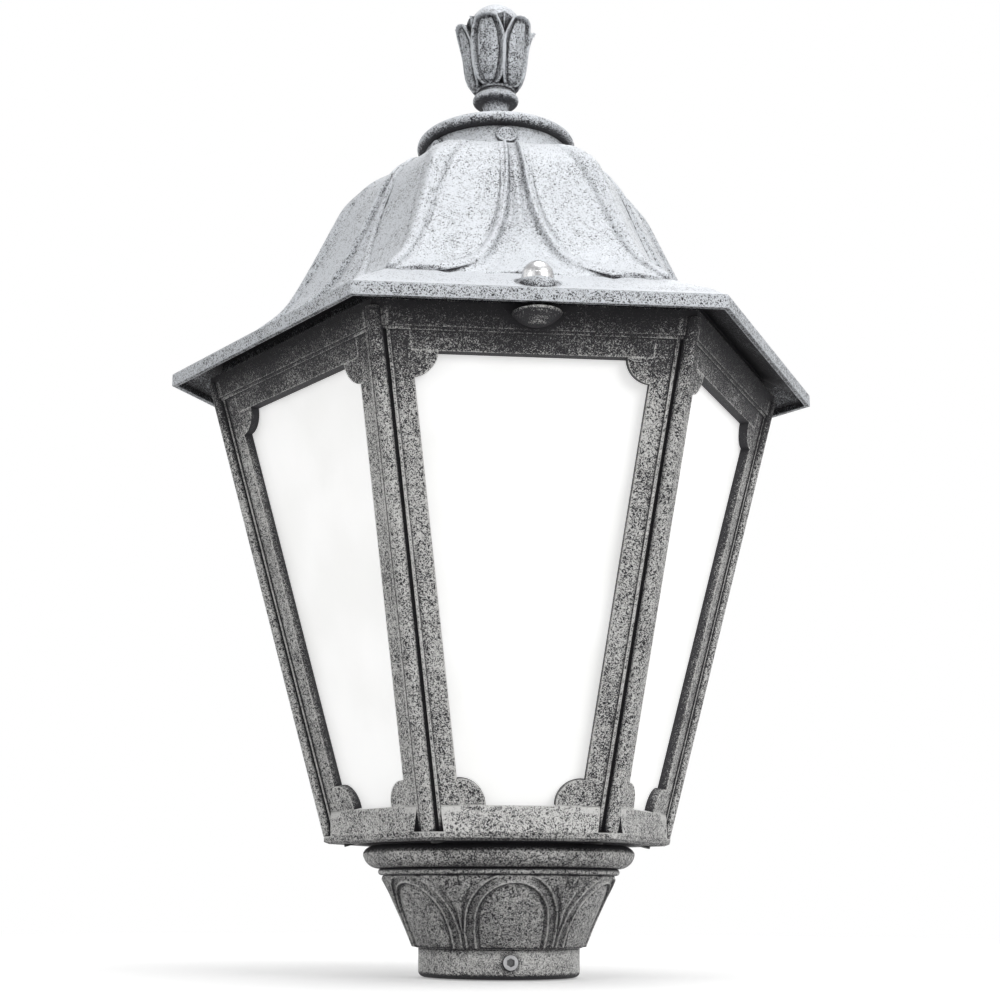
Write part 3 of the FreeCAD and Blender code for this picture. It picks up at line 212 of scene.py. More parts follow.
def plain_metal(name, colour, roughness, metallic=1.0, wear=0.25, scale=420):
    """Turned or plated metal with fine scratches and dull patches, its edges brightened as painted highlights
    and its corners darkened as painted shade.
    """
    g = Graph(name)
    patches = g.noise(scale * 0.3, 4.0, 0.6)
    stretched = g.add("ShaderNodeMapping", {"Vector": g.coords, "Scale": (1.0, 1.0, 9.0)}).outputs["Vector"]
    scratches = g.noise(scale * 3, 3.0, 0.6, 0.0, stretched)
    edge, soft = g.edges(0.00035)
    base = g.mix(g.span(patches, 0.35, 0.65), shaded(colour, 1 - wear), shaded(colour))
    # painted highlight along the edges
    base = g.mix(g.math("MULTIPLY", edge, 0.5), base, shaded(colour, 1.25))
    # painted shade in corners and holes
    base = g.mix(g.span(g.hollows(0.003), 0.9, 0.3, 0.0, 0.85), base, shaded(colour, 0.15))
    rough = g.span(patches, 0.3, 0.7, roughness * 1.35, roughness * 0.8)
    normal = g.bump(scratches, 0.00004, 0.5, soft)
    return g.finish(colour=base, metallic=metallic, roughness=rough, normal=normal)


def moulded(name, colour, roughness, grain=900, depth=0.00003, coat=0.0, speck=0.06):
    """Moulded or glazed surface: faint mottling, painted shade towards corners and a fine grain."""
    g = Graph(name)
    patches = g.noise(grain * 0.08, 4.0, 0.6)
    fine = g.noise(grain, 3.0, 0.6)
    soft = g.edges(0.0004)[1]
    base = g.mix(g.span(patches, 0.35, 0.65), shaded(colour, 1 - speck), shaded(colour))
    # painted shade in corners
    painted_corner_shade = g.span(g.hollows(0.006), 0.9, 0.5, 0.0, 0.35)
    base = g.mix(painted_corner_shade, base, shaded(colour, 0.72))
    rough = g.span(fine, 0.3, 0.7, roughness * 0.85, min(1.0, roughness * 1.15))
    return g.finish(colour=base, roughness=rough, normal=g.bump(fine, depth, 0.6, soft), coat=coat)


def opal(name):
    """Opal diffuser sheet: white and satin, with a faint painted glow though no lamp is lit, and painted
    shade near the frame.
    """
    g = Graph(name)
    patches = g.noise(30, 4.0, 0.5)
    fine = g.noise(1400, 2.0, 0.5)
    # painted shade near the frame
    painted_corner_shade = g.span(g.hollows(0.012), 1.0, 0.35, 0.0, 0.30)
    white = g.mix(g.span(patches, 0.35, 0.65), (0.90, 0.90, 0.89, 1), (0.95, 0.95, 0.945, 1))
    base = g.mix(painted_corner_shade, white, (0.74, 0.74, 0.73, 1))
    rough = g.span(fine, 0.3, 0.7, 0.30, 0.42)
    normal = g.bump(fine, 0.00002, 0.4)
    # painted glow that keeps the panes white
    return g.finish(colour=base, roughness=rough, normal=normal, glow=white, glow_strength=0.52)


def frosted(name):
    """Frosted glass of the lamp's globe."""
    g = Graph(name)
    fine = g.noise(1800, 2.0, 0.5)
    clouds = g.noise(60, 3.0, 0.5)
    base = g.mix(clouds, (0.90, 0.90, 0.88, 1), (0.96, 0.96, 0.95, 1))
    rough = g.span(fine, 0.3, 0.7, 0.35, 0.5)
    normal = g.bump(fine, 0.00002, 0.5)
    return g.finish(colour=base, roughness=rough, normal=normal, transmission=0.35, ior=1.46)


MATERIALS = {
    # the last three numbers set painted light on faces that look up, painted shade in sheltered places and
    # painted shade under the eaves
    "cast_frame": antique_silver("cage_antique_silver", 0.592, (0.72, 0.715, 0.70), 0.10, 0.28, 0.12),
    "cast_roof": antique_silver("roof_antique_silver", 0.628, (0.66, 0.685, 0.72), 0.11, 0.20),
    "opal_pane": opal("opal_pane"),
    "steel": plain_metal("zinc_plated_steel", (0.50, 0.50, 0.51), 0.38),
    "knob_metal": plain_metal("knob_bright_metal", (0.74, 0.74, 0.75), 0.20, wear=0.45, scale=900),
    "brass_parts": plain_metal("plain_brass", (0.72, 0.55, 0.27), 0.36),
    "rubber_seal": moulded("black_rubber", (0.020, 0.020, 0.021), 0.75, 700, 0.00006),
    "holder_white": moulded("glazed_white", (0.84, 0.83, 0.79), 0.22, 300, 0.00002, 0.5),
    "terminal_white": moulded("moulded_white", (0.80, 0.79, 0.75), 0.55),
    "lead_brown": moulded("brown_insulation", (0.16, 0.075, 0.035), 0.55),
    "lead_blue": moulded("blue_insulation", (0.04, 0.11, 0.34), 0.55),
    "lamp_cap_metal": plain_metal("spun_cap", (0.76, 0.76, 0.76), 0.30),
    "lamp_glass": frosted("frosted_glass"),
}
NEAR_BLACK_STEEL = plain_metal("near_black_steel", (0.050, 0.049, 0.050), 0.55, 0.6)


def dress_cad():
    """Give each CAD node the material of its slot; the screws under the pan get a near-black steel instead.
    """
    for row in frame["record"]["subparts"]:
        item = frame["nodes"][row["node"]]
        item.data.materials.clear()
        near_black = row["node"] == "post_screws_lower"
        item.data.materials.append(NEAR_BLACK_STEEL if near_black else MATERIALS[row["material_slot"]])


# ---------------------------------------------------------------- mesh helpers

def smooth_step(value, low, high):
    """0 below low and 1 above high, with a smooth rise between them."""
    share = np.clip((value - low) / (high - low), 0.0, 1.0)
    return share * share * (3 - 2 * share)


def hump(value, half_width):
    """1 at 0, falling smoothly to 0 at the half width."""
    return np.where(np.abs(value) < half_width, 0.5 + 0.5 * np.cos(np.pi * value / half_width), 0.0)


def make_object(name, points, faces, body, slot):
    """A smooth mesh object from points in millimetres, riding on a body."""
    mesh = bpy.data.meshes.new(name)
    mesh.from_pydata((np.asarray(points) * MM).tolist(), [], [tuple(f) for f in faces])
    mesh.validate()
    mesh.polygons.foreach_set("use_smooth", [True] * len(mesh.polygons))
    mesh.update()
    item = bpy.data.objects.new(name, mesh)
    bpy.context.scene.collection.objects.link(item)
    mesh.materials.append(MATERIALS[slot])
    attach(item, body)
    return item


def strip_faces(rows, columns, wrap, start=0, flip=False):
    """Quads of a grid of rows by columns, numbered row by row from start."""
    r = np.arange(rows - 1)[:, None]
    c = np.arange(columns if wrap else columns - 1)[None, :]
    following = (c + 1) % columns
    quads = np.stack([r * columns + c, r * columns + following, (r + 1) * columns + following,
                      (r + 1) * columns + c], axis=-1).reshape(-1, 4) + start
    return quads[:, ::-1] if flip else quads


def closed_ring(outer, inner):
    """Points and faces of a closed ring-shaped shell from two grids that wrap round in their columns."""
    rows, columns, _ = outer.shape
    count = rows * columns
    points = np.vstack([outer.reshape(-1, 3), inner.reshape(-1, 3)])
    c = np.arange(columns)
    n = (c + 1) % columns
    bottom = np.stack([c, c + count, n + count, n], axis=-1)
    last = (rows - 1) * columns
    top = np.stack([last + c, last + n, last + n + count, last + c + count], axis=-1)
    outside = strip_faces(rows, columns, True)
    inside = strip_faces(rows, columns, True, count, True)
    faces = np.vstack([outside, inside, bottom, top])
    return points, faces


def grid_normals(grid):
    """Outward unit normals of a grid of rows (rising) by columns (anticlockwise)."""
    along = np.roll(grid, -1, axis=1) - np.roll(grid, 1, axis=1)
    rising = np.gradient(grid, axis=0)
    normal = np.cross(along, rising)
    return normal / np.maximum(np.linalg.norm(normal, axis=2, keepdims=True), 1e-9)


def cad_tree(node):
    """Search tree of a CAD node's surface."""
    mesh = frame["nodes"][node].data
    return BVHTree.FromPolygons([v.co[:] for v in mesh.vertices], [p.vertices[:] for p in mesh.polygons])


def cad_surface(node, azimuths, levels, reach):
    """Grid of points where level rays from outside first meet a CAD node, in millimetres."""
    tree = cad_tree(node)
    grid = np.zeros((len(levels), len(azimuths), 3))
    for j, azimuth in enumerate(azimuths):
        x, y = math.cos(math.radians(azimuth)), math.sin(math.radians(azimuth))
        for i, level in enumerate(levels):
            hit = tree.ray_cast(Vector((reach * x, reach * y, level)) * MM, Vector((-x, -y, 0)))[0]
            radius = math.hypot(hit.x, hit.y) / MM if hit else np.nan
            grid[i, j] = (radius * x, radius * y, level)
    return grid


def from_face_centre(azimuths):
    """Angle from the nearest face's middle, in degrees, between -30 and 30."""
    return (azimuths - FACE_AZIMUTH + SECTOR / 2) % SECTOR - SECTOR / 2


def on_circles(radius, azimuths, levels):
    """Grid of points at a radius, given for each level or as a grid, with one column per azimuth."""
    angle = np.radians(azimuths)
    level = levels[:, None] * np.ones(len(azimuths))
    return np.stack([radius * np.cos(angle), radius * np.sin(angle), level], axis=-1)


def relief_piece(name, base, height, sink, body, slot):
    """Closed shell: its outside stands off a base grid by a height, its inside is sunk in the solid."""
    normal = grid_normals(base)
    outer = base + normal * height[..., None]
    inner = base - normal * sink
    points, faces = closed_ring(outer, inner)
    return make_object(name, points, faces, body, slot)


# ---------------------------------------------------------------- roof ornament

# level; border's outer and inner edge, measured from the middle of a face; midrib's half width at a corner
PETAL_OUTLINE = np.array([
    (266.5, 24.0, 54.0, 1.8), (268.0, 18.8, 44.0, 1.9), (270.0, 16.5, 35.0, 2.0), (272.5, 14.6, 27.5, 2.1),
    (275.0, 13.0, 23.5, 2.2), (279.5, 10.6, 18.6, 2.4), (284.5, 9.0, 15.3, 2.8), (289.0, 7.3, 13.0, 3.1),
    (294.0, 5.5, 11.0, 3.5), (300.0, 4.0, 9.0, 3.9), (306.0, 3.1, 7.6, 4.2), (313.0, 2.4, 6.4, 4.5),
    (320.0, 2.0, 5.5, 5.0), (330.0, 1.6, 4.6, 5.8), (339.0, 1.2, 4.0, 6.5), (350.0, 0.8, 3.4, 7.0),
])
LIP_LEVEL = 251.0
FLANGE_STEEPNESS = 2.11
# the dome without its ornament: an ogee over the corners, clipped by a round crown
DOME_FOOT_LEVEL = 266.5
DOME_RISE = 80.8
DOME_FOOT_RADIUS = 107.27
DOME_RUN = 66.8
# share of the rise above the foot, share of the run outside the head
OGEE = ((0, 1), (0.043, 0.938), (0.117, 0.825), (0.291, 0.666), (0.489, 0.542), (0.687, 0.425),
        (0.859, 0.29), (0.955, 0.13), (1, 0.01))
# radius and level of the crown's foot, middle and head
CROWN = ((75.67, 309.08), (60.31, 333.66), (34.47, 347.3))
NECK_LEVEL = DOME_FOOT_LEVEL + DOME_RISE
NECK_RISE = 10.2
NECK_RADIUS = 34.0
NECK_TAPER = 2.5
# the knob's spot face stays clear of ornament
SPOT_FACE_RADIUS = 9.2
FLANGE_TOP = 265.3
# first and last level and the number of rows, closest at the dome's foot
ROOF_BANDS = ((LIP_LEVEL + 0.15, 265.2, 42), (265.6, 292, 62), (292.5, 335, 66),
              (335.4, NECK_LEVEL - 0.2, 34))
ROOF_GAP = 0.22


def petal_relief(across, level, corner):
    """Height of the dome's ornament: petals round the corners, rolled borders, spears between them."""
    outer, inner, rib = (np.interp(level, PETAL_OUTLINE[:, 0], column) for column in PETAL_OUTLINE.T[1:])
    away = np.abs(across)
    width = inner - outer
    edge = corner / 2 - away
    petal = smooth_step(away, outer, outer + 0.55 * width)
    roll = hump(away - (outer + 0.62 * width), 0.5 * width)
    groove = hump(away - inner - 0.6, 1.0)
    dish = smooth_step(edge, rib, rib + 9.0) * smooth_step(away, inner, inner + 6.0)
    midrib = 1 - smooth_step(edge, 0.62 * rib, rib + 0.3)
    crest = hump(edge, 0.42 * rib + 0.4)
    rib_groove = hump(edge - rib - 0.8, 0.9)
    spear_half = 0.74 * outer
    spear = np.clip(1 - away / spear_half, 0, 1) * smooth_step(spear_half, 0.6, 3.0)
    step = smooth_step(spear_half - away, -0.5, 0.3) * smooth_step(spear_half, 2.0, 4.0)
    height = 1.15 * petal + 1.0 * roll - 0.75 * groove * petal - 0.30 * dish
    height += 0.75 * midrib + 0.55 * crest - 0.40 * rib_groove + 1.35 * spear + 0.25 * step
    return height


def dent_row(across, below):
    """Small triangular dents in a row along the flange, just below the dome's foot."""
    period, first, tall, half = 16.0, 2.2, 5.5, 4.4
    place = np.abs((across + period / 2) % period - period / 2)
    reach = half * np.clip(1 - (below - first) / tall, 0, 1) * (below > first)
    return np.clip(1 - place / np.maximum(reach, 0.01), 0, 1) * (reach > 0.2)


def smooth_through(points, places):
    """Values at some places of a natural cubic spline through (place, value) points."""
    known, values = np.array(points, float).T
    step = np.diff(known)
    slope = np.diff(values) / step
    count = len(known)
    system, right = np.eye(count), np.zeros(count)
    for k in range(1, count - 1):
        system[k, k - 1:k + 2] = step[k - 1], 2 * (step[k - 1] + step[k]), step[k]
        right[k] = 6 * (slope[k] - slope[k - 1])
    bend = np.linalg.solve(system, right)
    k = np.clip(np.searchsorted(known, places) - 1, 0, count - 2)
    before, after = places - known[k], known[k + 1] - places
    curve = (bend[k] * after ** 3 + bend[k + 1] * before ** 3) / (6 * step[k])
    return (curve + (values[k] / step[k] - bend[k] * step[k] / 6) * after
            + (values[k + 1] / step[k] - bend[k + 1] * step[k] / 6) * before)


def circle_through(a, b, c):
    """Centre and radius of the circle through three points."""
    a, b, c = (np.array(p, float) for p in (a, b, c))
    centre = np.linalg.solve(2 * np.array([b - a, c - a]), [b @ b - a @ a, c @ c - a @ a])
    return centre, np.linalg.norm(a - centre)


def plain_dome_radius(azimuths, levels):
    """Radius of the dome without its ornament: hexagonal, its corners clipped by a round crown."""
    rise = (levels - DOME_FOOT_LEVEL) / DOME_RISE
    corner = DOME_FOOT_RADIUS - DOME_RUN * (1 - smooth_through(OGEE, rise))
    face = corner[:, None] * math.cos(math.pi / 6) / np.cos(np.radians(from_face_centre(azimuths)))[None, :]
    centre, reach = circle_through(*CROWN)
    crown = centre[0] + np.sqrt(np.maximum(reach ** 2 - (levels - centre[1]) ** 2, 0))
    crown = np.where(levels < CROWN[0][1], np.inf, crown)
    return np.minimum(face, crown[:, None])


def keep_outside(node, grid, gap, reach, skip):
    """Push a grid's points outwards until they clear a CAD node by a gap, but for those skipped."""
    tree = cad_tree(node)
    for i, j in np.ndindex(grid.shape[:2]):
        x, y, z = grid[i, j]
        radius = math.hypot(x, y)
        start = Vector((x * reach / radius, y * reach / radius, z)) * MM
        hit = tree.ray_cast(start, Vector((-x, -y, 0)).normalized())[0]
        if hit is None or skip[i, j]:
            continue
        needed = math.hypot(hit.x, hit.y) / MM + gap
        if needed > radius:
            grid[i, j, :2] *= needed / radius
    return grid


def make_roof_relief():
    """Ornament of dome and flange, from the neck's foot down to the lip."""
    columns, reach = 1080, 170
    azimuths = np.arange(columns) * 360.0 / columns
    levels = np.concatenate([np.linspace(*band) for band in ROOF_BANDS])
    on_flange = levels[:, None] < FLANGE_TOP
    base = cad_surface("roof_shell", azimuths, levels, reach)
    radius = np.where(on_flange, np.hypot(base[..., 0], base[..., 1]), plain_dome_radius(azimuths, levels))
    base = on_circles(radius, azimuths, levels)

    angle = np.radians(from_face_centre(azimuths))[None, :]
    across = radius * np.sin(angle)
    level = levels[:, None] * np.ones_like(radius)
    corner_columns = [int(round(k * columns / 6)) for k in range(6)]
    corner = radius[:, corner_columns].mean(axis=1)[:, None] * np.ones_like(radius)
    on_dome = smooth_step(level, DOME_FOOT_LEVEL - 0.8, DOME_FOOT_LEVEL + 0.5)
    fade = 1 - smooth_step(level, NECK_LEVEL - 7.3, NECK_LEVEL - 1.3)
    height = 0.45 + petal_relief(across, level, corner) * on_dome * fade

    below = (DOME_FOOT_LEVEL - level) * FLANGE_STEEPNESS
    beside_knob = smooth_step(np.abs(across), 9.0, 10.0)
    height -= 0.84 * dent_row(across, below) * (level < DOME_FOOT_LEVEL - 0.1) * beside_knob
    swell = 0.45 * smooth_step(level, LIP_LEVEL + 2, LIP_LEVEL + 5)
    height = np.where(level < DOME_FOOT_LEVEL - 1, height + swell, height)
    near_lip = 1 - smooth_step(level, LIP_LEVEL + 0.2, LIP_LEVEL + 3.5)
    height = height * (1 - near_lip) + 0.12 * near_lip
    knob = np.hypot(base[..., 0] - KNOB_AXIS[0], base[..., 1] - KNOB_AXIS[1])
    clear = 1 - smooth_step(knob, SPOT_FACE_RADIUS - 1.2, SPOT_FACE_RADIUS)
    height = height * (1 - clear) - 0.30 * clear

    normal = grid_normals(base)
    outer = base + normal * height[..., None]
    outer = keep_outside("roof_shell", outer, ROOF_GAP, reach, knob < SPOT_FACE_RADIUS)
    points, faces = closed_ring(outer, base - normal * 0.6)
    return make_object("roof_ornament", points, faces, "roof", "cast_roof")


def make_neck_relief():
    """Neck band with its round bosses."""
    columns, rows = 720, 40
    azimuths = np.arange(columns) * 360.0 / columns
    levels = np.linspace(NECK_LEVEL + 0.05, NECK_LEVEL + NECK_RISE - 0.1, rows)
    radius = (NECK_RADIUS - NECK_TAPER * (levels - NECK_LEVEL) / NECK_RISE)[:, None]
    base = on_circles(radius, azimuths, levels)
    above = levels[:, None] - NECK_LEVEL
    across = radius * np.radians(from_face_centre(azimuths))[None, :]
    away = np.hypot(across / 1.12, above - NECK_RISE / 2)
    boss = 0.55 * (1 - smooth_step(away, 3.9, 4.4)) + 0.25 * hump(away - 3.5, 0.8)
    groove = 0.12 * hump(away - 4.7, 0.6)
    line = 0.30 * hump(above - 0.7, 0.7) + 0.15 * hump(above - 9.7, 0.6)
    height = 0.30 + boss - groove + line
    return relief_piece("neck_band_ornament", base, height, 0.5, "roof", "cast_roof")


# ---------------------------------------------------------------- bell ornament

BELL_FOOT_LEVEL = 11.7
BELL_HEAD_LEVEL = 40.6
# level of the arches' centre, and the radii of their two ridges
ARCH_LEVEL = 23.7
ARCH_INNER = 14.4
ARCH_OUTER = 18.2
# level, half width of a leaf
LEAF_OUTLINE = np.array([(14, 0.25), (21, 0.5), (27, 1.5), (31, 3.0), (34, 4.9), (36.5, 6.6), (38.5, 5.2),
                         (40.2, 2.4)])


def leaf_relief(across, level):
    """Fan leaf with two curled side lobes on a narrowing stem, centred on 0."""
    half = np.interp(level, *LEAF_OUTLINE.T)
    body = smooth_step(half - np.abs(across), -0.5, 0.5)
    notch = hump(np.abs(across) - 2.6, 0.9) * smooth_step(level, 33.5, 37.0)
    stem = hump(across, 0.75)
    vein = hump(np.abs(across) - 0.62 * half, 0.9) * smooth_step(level, 27, 31)
    return body * (0.55 + 0.45 * stem + 0.35 * vein - 0.55 * notch)


def make_bell_relief():
    """Double-ridged arches round the bell with leaves between their shoulders."""
    columns, rows, reach = 900, 82, 80
    azimuths = np.arange(columns) * 360.0 / columns
    levels = np.linspace(BELL_FOOT_LEVEL + 0.25, BELL_HEAD_LEVEL - 0.25, rows)
    base = cad_surface("base_bell", azimuths, levels, reach)
    radius = np.hypot(base[..., 0], base[..., 1])
    across = radius * np.radians(from_face_centre(azimuths))[None, :]
    level = levels[:, None] * np.ones_like(radius)
    half = radius * math.radians(SECTOR / 2)
    from_arch = np.hypot(across, np.clip(level - ARCH_LEVEL, 0, None))
    below = level < ARCH_LEVEL
    outer_line = np.where(below, np.minimum(ARCH_OUTER, 0.945 * half), ARCH_OUTER)
    inner_line = np.where(below, np.minimum(ARCH_INNER, 0.747 * half), ARCH_INNER)
    ridges = hump(from_arch - inner_line, 0.85) + hump(from_arch - outer_line, 1.0)
    inside = 1 - smooth_step(from_arch, inner_line - 2.0, inner_line - 0.8)
    sunk = hump(from_arch - (inner_line - 1.3), 0.8)
    from_corner = across - np.sign(across) * half
    leaf = leaf_relief(from_corner, level) * smooth_step(from_arch - outer_line, 0.3, 1.3)
    height = 0.42 + 1.15 * ridges + 0.20 * inside - 0.20 * sunk + 1.0 * leaf
    foot = 1 - smooth_step(level, BELL_FOOT_LEVEL + 0.2, BELL_FOOT_LEVEL + 0.9)
    head = smooth_step(level, BELL_HEAD_LEVEL - 1.0, BELL_HEAD_LEVEL - 0.2)
    height = (height * (1 - foot) + 0.08 * foot) * (1 - 0.6 * head)
    return relief_piece("bell_ornament", base, height, 0.7, "lantern", "cast_frame")


# ---------------------------------------------------------------- finial

# azimuth of the first rimmed petal
FINIAL_TURN = 7.5
PETAL_THICKNESS = 2.0
# radius, level
STEM = [(0, 364), (7.0, 364), (6.6, 364.7), (6.0, 366.0),
        (5.6, 368.5), (5.6, 378.5), (5.8, 380.8), (6.5, 381.8)]
CUP = [(8.6, 391.0), (10.0, 394.0), (10.9, 400), (11.5, 408), (11.9, 414), (12.0, 418.5)]
HEART_LEVEL = 419.0
HEART_RADIUS = 11.7
HEART_RISE = 10.9
# level, radius, half width
FRONT_PETAL = [
    (388.6, 8.2, 3.2), (390.3, 9.6, 4.7), (393.0, 11.4, 6.2), (396.6, 12.7, 7.2), (400.6, 13.3, 7.7),
    (405.1, 13.8, 7.9), (409.2, 14.5, 7.5), (412.3, 15.2, 6.8), (415.0, 15.9, 5.8), (417.0, 16.3, 5.0),
]
BACK_PETAL = [
    (391, 10.0, 5.0), (397, 11.4, 6.0), (403, 12.2, 6.8), (408, 12.8, 7.1),
    (412, 13.4, 6.8), (415, 14.0, 5.8), (417.3, 14.5, 4.4), (418.4, 14.8, 3.0),
]


def turned_points(profile, columns=96):
    """Points and faces of a closed body of revolution; the profile starts and ends on the axis."""
    angle = np.arange(columns) * 2 * np.pi / columns
    inner = profile[1:-1]
    points = [(0, 0, profile[0][1])]
    for radius, level in inner:
        points += [(radius * math.cos(a), radius * math.sin(a), level) for a in angle]
    points.append((0, 0, profile[-1][1]))
    faces = [tuple(f) for f in strip_faces(len(inner), columns, True, 1)]
    last = 1 + (len(inner) - 1) * columns
    top = len(points) - 1
    for c in range(columns):
        n = (c + 1) % columns
        faces.append((0, 1 + n, 1 + c))
        faces.append((last + c, last + n, top))
    return points, faces


def petal_mesh(azimuth, outline, rim, bulge, rib, tip):
    """A curved petal; rim, bulge, rib and tip are the heights of its edge, middle, midrib and tip."""
    rows, columns = 60, 45
    outline = np.array(outline)
    share = np.linspace(0, 1, rows)
    level = np.interp(share, np.linspace(0, 1, len(outline)), outline[:, 0])
    radius = np.interp(level, outline[:, 0], outline[:, 1])
    half = np.interp(level, outline[:, 0], outline[:, 2])
    across = np.linspace(-1, 1, columns)
    side = across[None, :] * half[:, None]
    crown = tip * (1 - across[None, :] ** 2) * smooth_step(share, 0.55, 1.0)[:, None]

    to_top = (1 - share)[:, None] * (outline[-1, 0] - outline[0, 0]) + 0.3
    from_edge = np.minimum(half[:, None] - np.abs(side), to_top)
    edge = hump(np.clip(from_edge - 0.7, 0, None), 1.0)
    groove = hump(from_edge - 2.3, 0.8)
    rounding = np.cos(across * math.pi / 2)[None, :] * (1 - 0.3 * share[:, None])
    veins = hump(side - 2.1, 0.7) + hump(side + 2.1, 0.7) + hump(side, 0.7)
    height = rim * (edge - 0.45 * groove) + bulge * rounding + rib * hump(side, 0.9) + 0.22 * rim * veins

    turn = math.radians(azimuth) + side / radius[:, None]
    front = radius[:, None] + height
    back = radius[:, None] - PETAL_THICKNESS
    z = level[:, None] + crown
    outer = np.stack([front * np.cos(turn), front * np.sin(turn), z], axis=-1)
    inner = np.stack([back * np.cos(turn), back * np.sin(turn), z], axis=-1)

    count = rows * columns
    points = np.vstack([outer.reshape(-1, 3), inner.reshape(-1, 3)])
    c = np.arange(columns - 1)
    last = (rows - 1) * columns
    r = np.arange(rows - 1) * columns
    e = r + columns - 1
    faces = np.vstack([
        strip_faces(rows, columns, False), strip_faces(rows, columns, False, count, True),
        np.stack([c, c + count, c + 1 + count, c + 1], axis=-1),
        np.stack([last + c, last + c + 1, last + c + 1 + count, last + c + count], axis=-1),
        np.stack([r, r + columns, r + columns + count, r + count], axis=-1),
        np.stack([e, e + count, e + columns + count, e + columns], axis=-1)])
    return points, faces


def arc_profile(centre, radius, start, end, count):
    """Points of an arc in radius and level, angles in degrees."""
    return [(centre[0] + radius * math.cos(math.radians(a)), centre[1] + radius * math.sin(math.radians(a)))
            for a in np.linspace(start, end, count)]


def make_finial():
    """Tulip finial: stem, bead, cup, six rimmed petals, six ribbed petals behind them and a domed heart."""
    bead = arc_profile((8.2, 384.0), 2.1, -80, 80, 11) + [(7.9, 386.4), (8.0, 387.0)]
    ring = arc_profile((7.4, 388.6), 1.35, -70, 60, 8)
    heart = [(HEART_RADIUS * math.cos(math.radians(a)), HEART_LEVEL + HEART_RISE * math.sin(math.radians(a)))
             for a in range(6, 88, 6)]
    top = [(0, HEART_LEVEL + HEART_RISE)]
    parts = [turned_points(STEM + bead + ring + CUP + heart + top)]
    for k in range(6):
        azimuth = FINIAL_TURN + SECTOR * k
        parts.append(petal_mesh(azimuth, FRONT_PETAL, rim=1.5, bulge=0.7, rib=0.0, tip=1.2))
        parts.append(petal_mesh(azimuth + SECTOR / 2, BACK_PETAL, rim=0.3, bulge=0.2, rib=1.1, tip=1.4))
    points, faces, count = [], [], 0
    for part_points, part_faces in parts:
        points.append(np.asarray(part_points, float))
        faces += [tuple(int(i) + count for i in f) for f in part_faces]
        count += len(part_points)
    item = make_object("finial_tulip", np.vstack(points), faces, "roof", "cast_roof")
    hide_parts("finial")
    return item


# ---------------------------------------------------------------- stage

# name, place and diameter in metres, power in watts
LIGHTS = (("top_light", (0.15, -0.25, 1.6), 1.0, 9), ("front_light", (0.9, -1.2, 0.8), 0.9, 8),
          ("left_light", (-1.3, -0.7, 0.6), 0.9, 2), ("back_light", (0.4, 1.3, 1.0), 1.0, 4))
LIGHTS_AIM = (0, 0, 0.22)
FLOOR_HALF = 6.0
FLOOR_LEVEL = -0.0004
# the floor keeps its shadow up to the first distance and is plain white from the second on
SHADOW_REACH = (0.25, 0.9)
NEAR_GLOW = 0.30
# grey of the floor and strength of the surroundings for the rays that light the lantern
FLOOR_BOUNCE = 0.30
WORLD_LIGHT = 0.55
# pan, pitch and roll in degrees, and the focal length over the sensor's width
CAMERA_ANGLES = (5.515, 10.782, 0.225)
CAMERA_PLACE = (-0.0970, -0.7054, 0.0313)
CAMERA_SHIFT = (0.07, 0.075)
FOCAL_RATIO = 1.697626
SENSOR = 36


def floor_material():
    """Pale floor that keeps the shadow near the lantern and turns plain white further out."""
    g = Graph("pale_floor")
    grain = g.noise(60, 4.0, 0.6)
    seen = g.shows_surroundings()
    plane_x, plane_y, _ = g.add("ShaderNodeSeparateXYZ", {0: g.coords}).outputs
    away = g.math("SQRT", g.math("ADD", g.math("POWER", plane_x, 2.0), g.math("POWER", plane_y, 2.0)))
    start, end = SHADOW_REACH
    near = g.math("MULTIPLY", g.span(away, end, start), seen)
    far = g.math("MULTIPLY", g.span(away, start, end), seen)
    pale = g.mix(grain, (0.80, 0.80, 0.80, 1), (0.84, 0.84, 0.84, 1))
    lit = g.mix(seen, (FLOOR_BOUNCE, FLOOR_BOUNCE, FLOOR_BOUNCE, 1), pale)
    shade = g.mix(far, lit, (0.0, 0.0, 0.0, 1))
    strength = g.math("MULTIPLY_ADD", near, NEAR_GLOW, far)
    return g.finish(colour=shade, roughness=0.9, specular=0.0, normal=g.bump(grain, 0.0004, 0.2),
                    glow=(1, 1, 1, 1), glow_strength=strength)


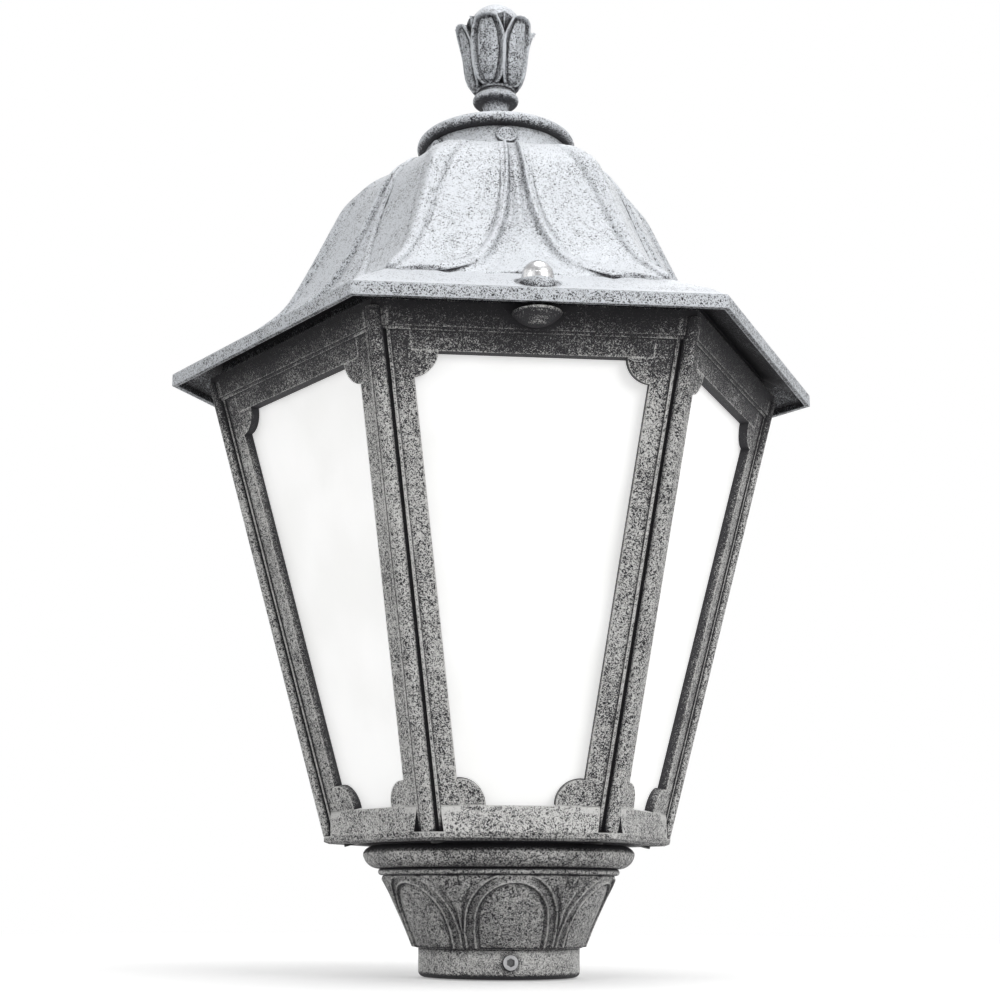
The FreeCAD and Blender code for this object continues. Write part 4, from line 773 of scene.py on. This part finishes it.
def make_floor():
    """One large square under the lantern."""
    mesh = bpy.data.meshes.new("floor")
    corners = [(x * FLOOR_HALF, y * FLOOR_HALF, FLOOR_LEVEL) for x, y in ((-1, -1), (1, -1), (1, 1), (-1, 1))]
    mesh.from_pydata(corners, [], [(0, 1, 2, 3)])
    mesh.materials.append(floor_material())
    floor = bpy.data.objects.new("floor", mesh)
    bpy.context.scene.collection.objects.link(floor)


def make_world():
    """White surroundings, dimmer where they light the lantern."""
    world = bpy.data.worlds.new("studio")
    bpy.context.scene.world = world
    g = Graph(world=world)
    strength = g.span(g.shows_surroundings(), 0.0, 1.0, WORLD_LIGHT, 1.0)
    background = g.add("ShaderNodeBackground", {"Color": (1, 1, 1, 1), "Strength": strength})
    g.add("ShaderNodeOutputWorld", {"Surface": background.outputs[0]})


def make_lights():
    """Soft round lamps, aimed at the middle of the lantern."""
    for name, place, size, power in LIGHTS:
        data = bpy.data.lights.new(name, "AREA")
        data.shape = "DISK"
        data.size = size
        data.energy = power
        lamp = bpy.data.objects.new(name, data)
        lamp.location = place
        aim = Vector(LIGHTS_AIM) - Vector(place)
        lamp.rotation_euler = aim.to_track_quat("-Z", "Y").to_euler()
        bpy.context.scene.collection.objects.link(lamp)


def make_camera():
    """The photograph's camera, low in front of the lantern and looking up."""
    pan, pitch, roll = (math.radians(a) for a in CAMERA_ANGLES)
    forward = Vector((math.sin(pan) * math.cos(pitch), math.cos(pan) * math.cos(pitch), math.sin(pitch)))
    level_right = Vector((math.cos(pan), -math.sin(pan), 0))
    level_up = level_right.cross(forward)
    right = level_right * math.cos(roll) + level_up * math.sin(roll)
    up = level_up * math.cos(roll) - level_right * math.sin(roll)
    data = bpy.data.cameras.new("camera")
    data.sensor_width = SENSOR
    data.lens = SENSOR * FOCAL_RATIO
    data.shift_x, data.shift_y = CAMERA_SHIFT
    data.clip_start = 0.01
    camera = bpy.data.objects.new("camera", data)
    axes = Matrix((right, up, -forward)).transposed().to_4x4()
    camera.matrix_world = Matrix.Translation(CAMERA_PLACE) @ axes
    bpy.context.scene.collection.objects.link(camera)
    bpy.context.scene.camera = camera


bpy.context.scene.view_settings.view_transform = "Standard"
dress_cad()
make_roof_relief()
make_neck_relief()
make_bell_relief()
make_finial()
make_floor()
make_world()
make_lights()
make_camera()
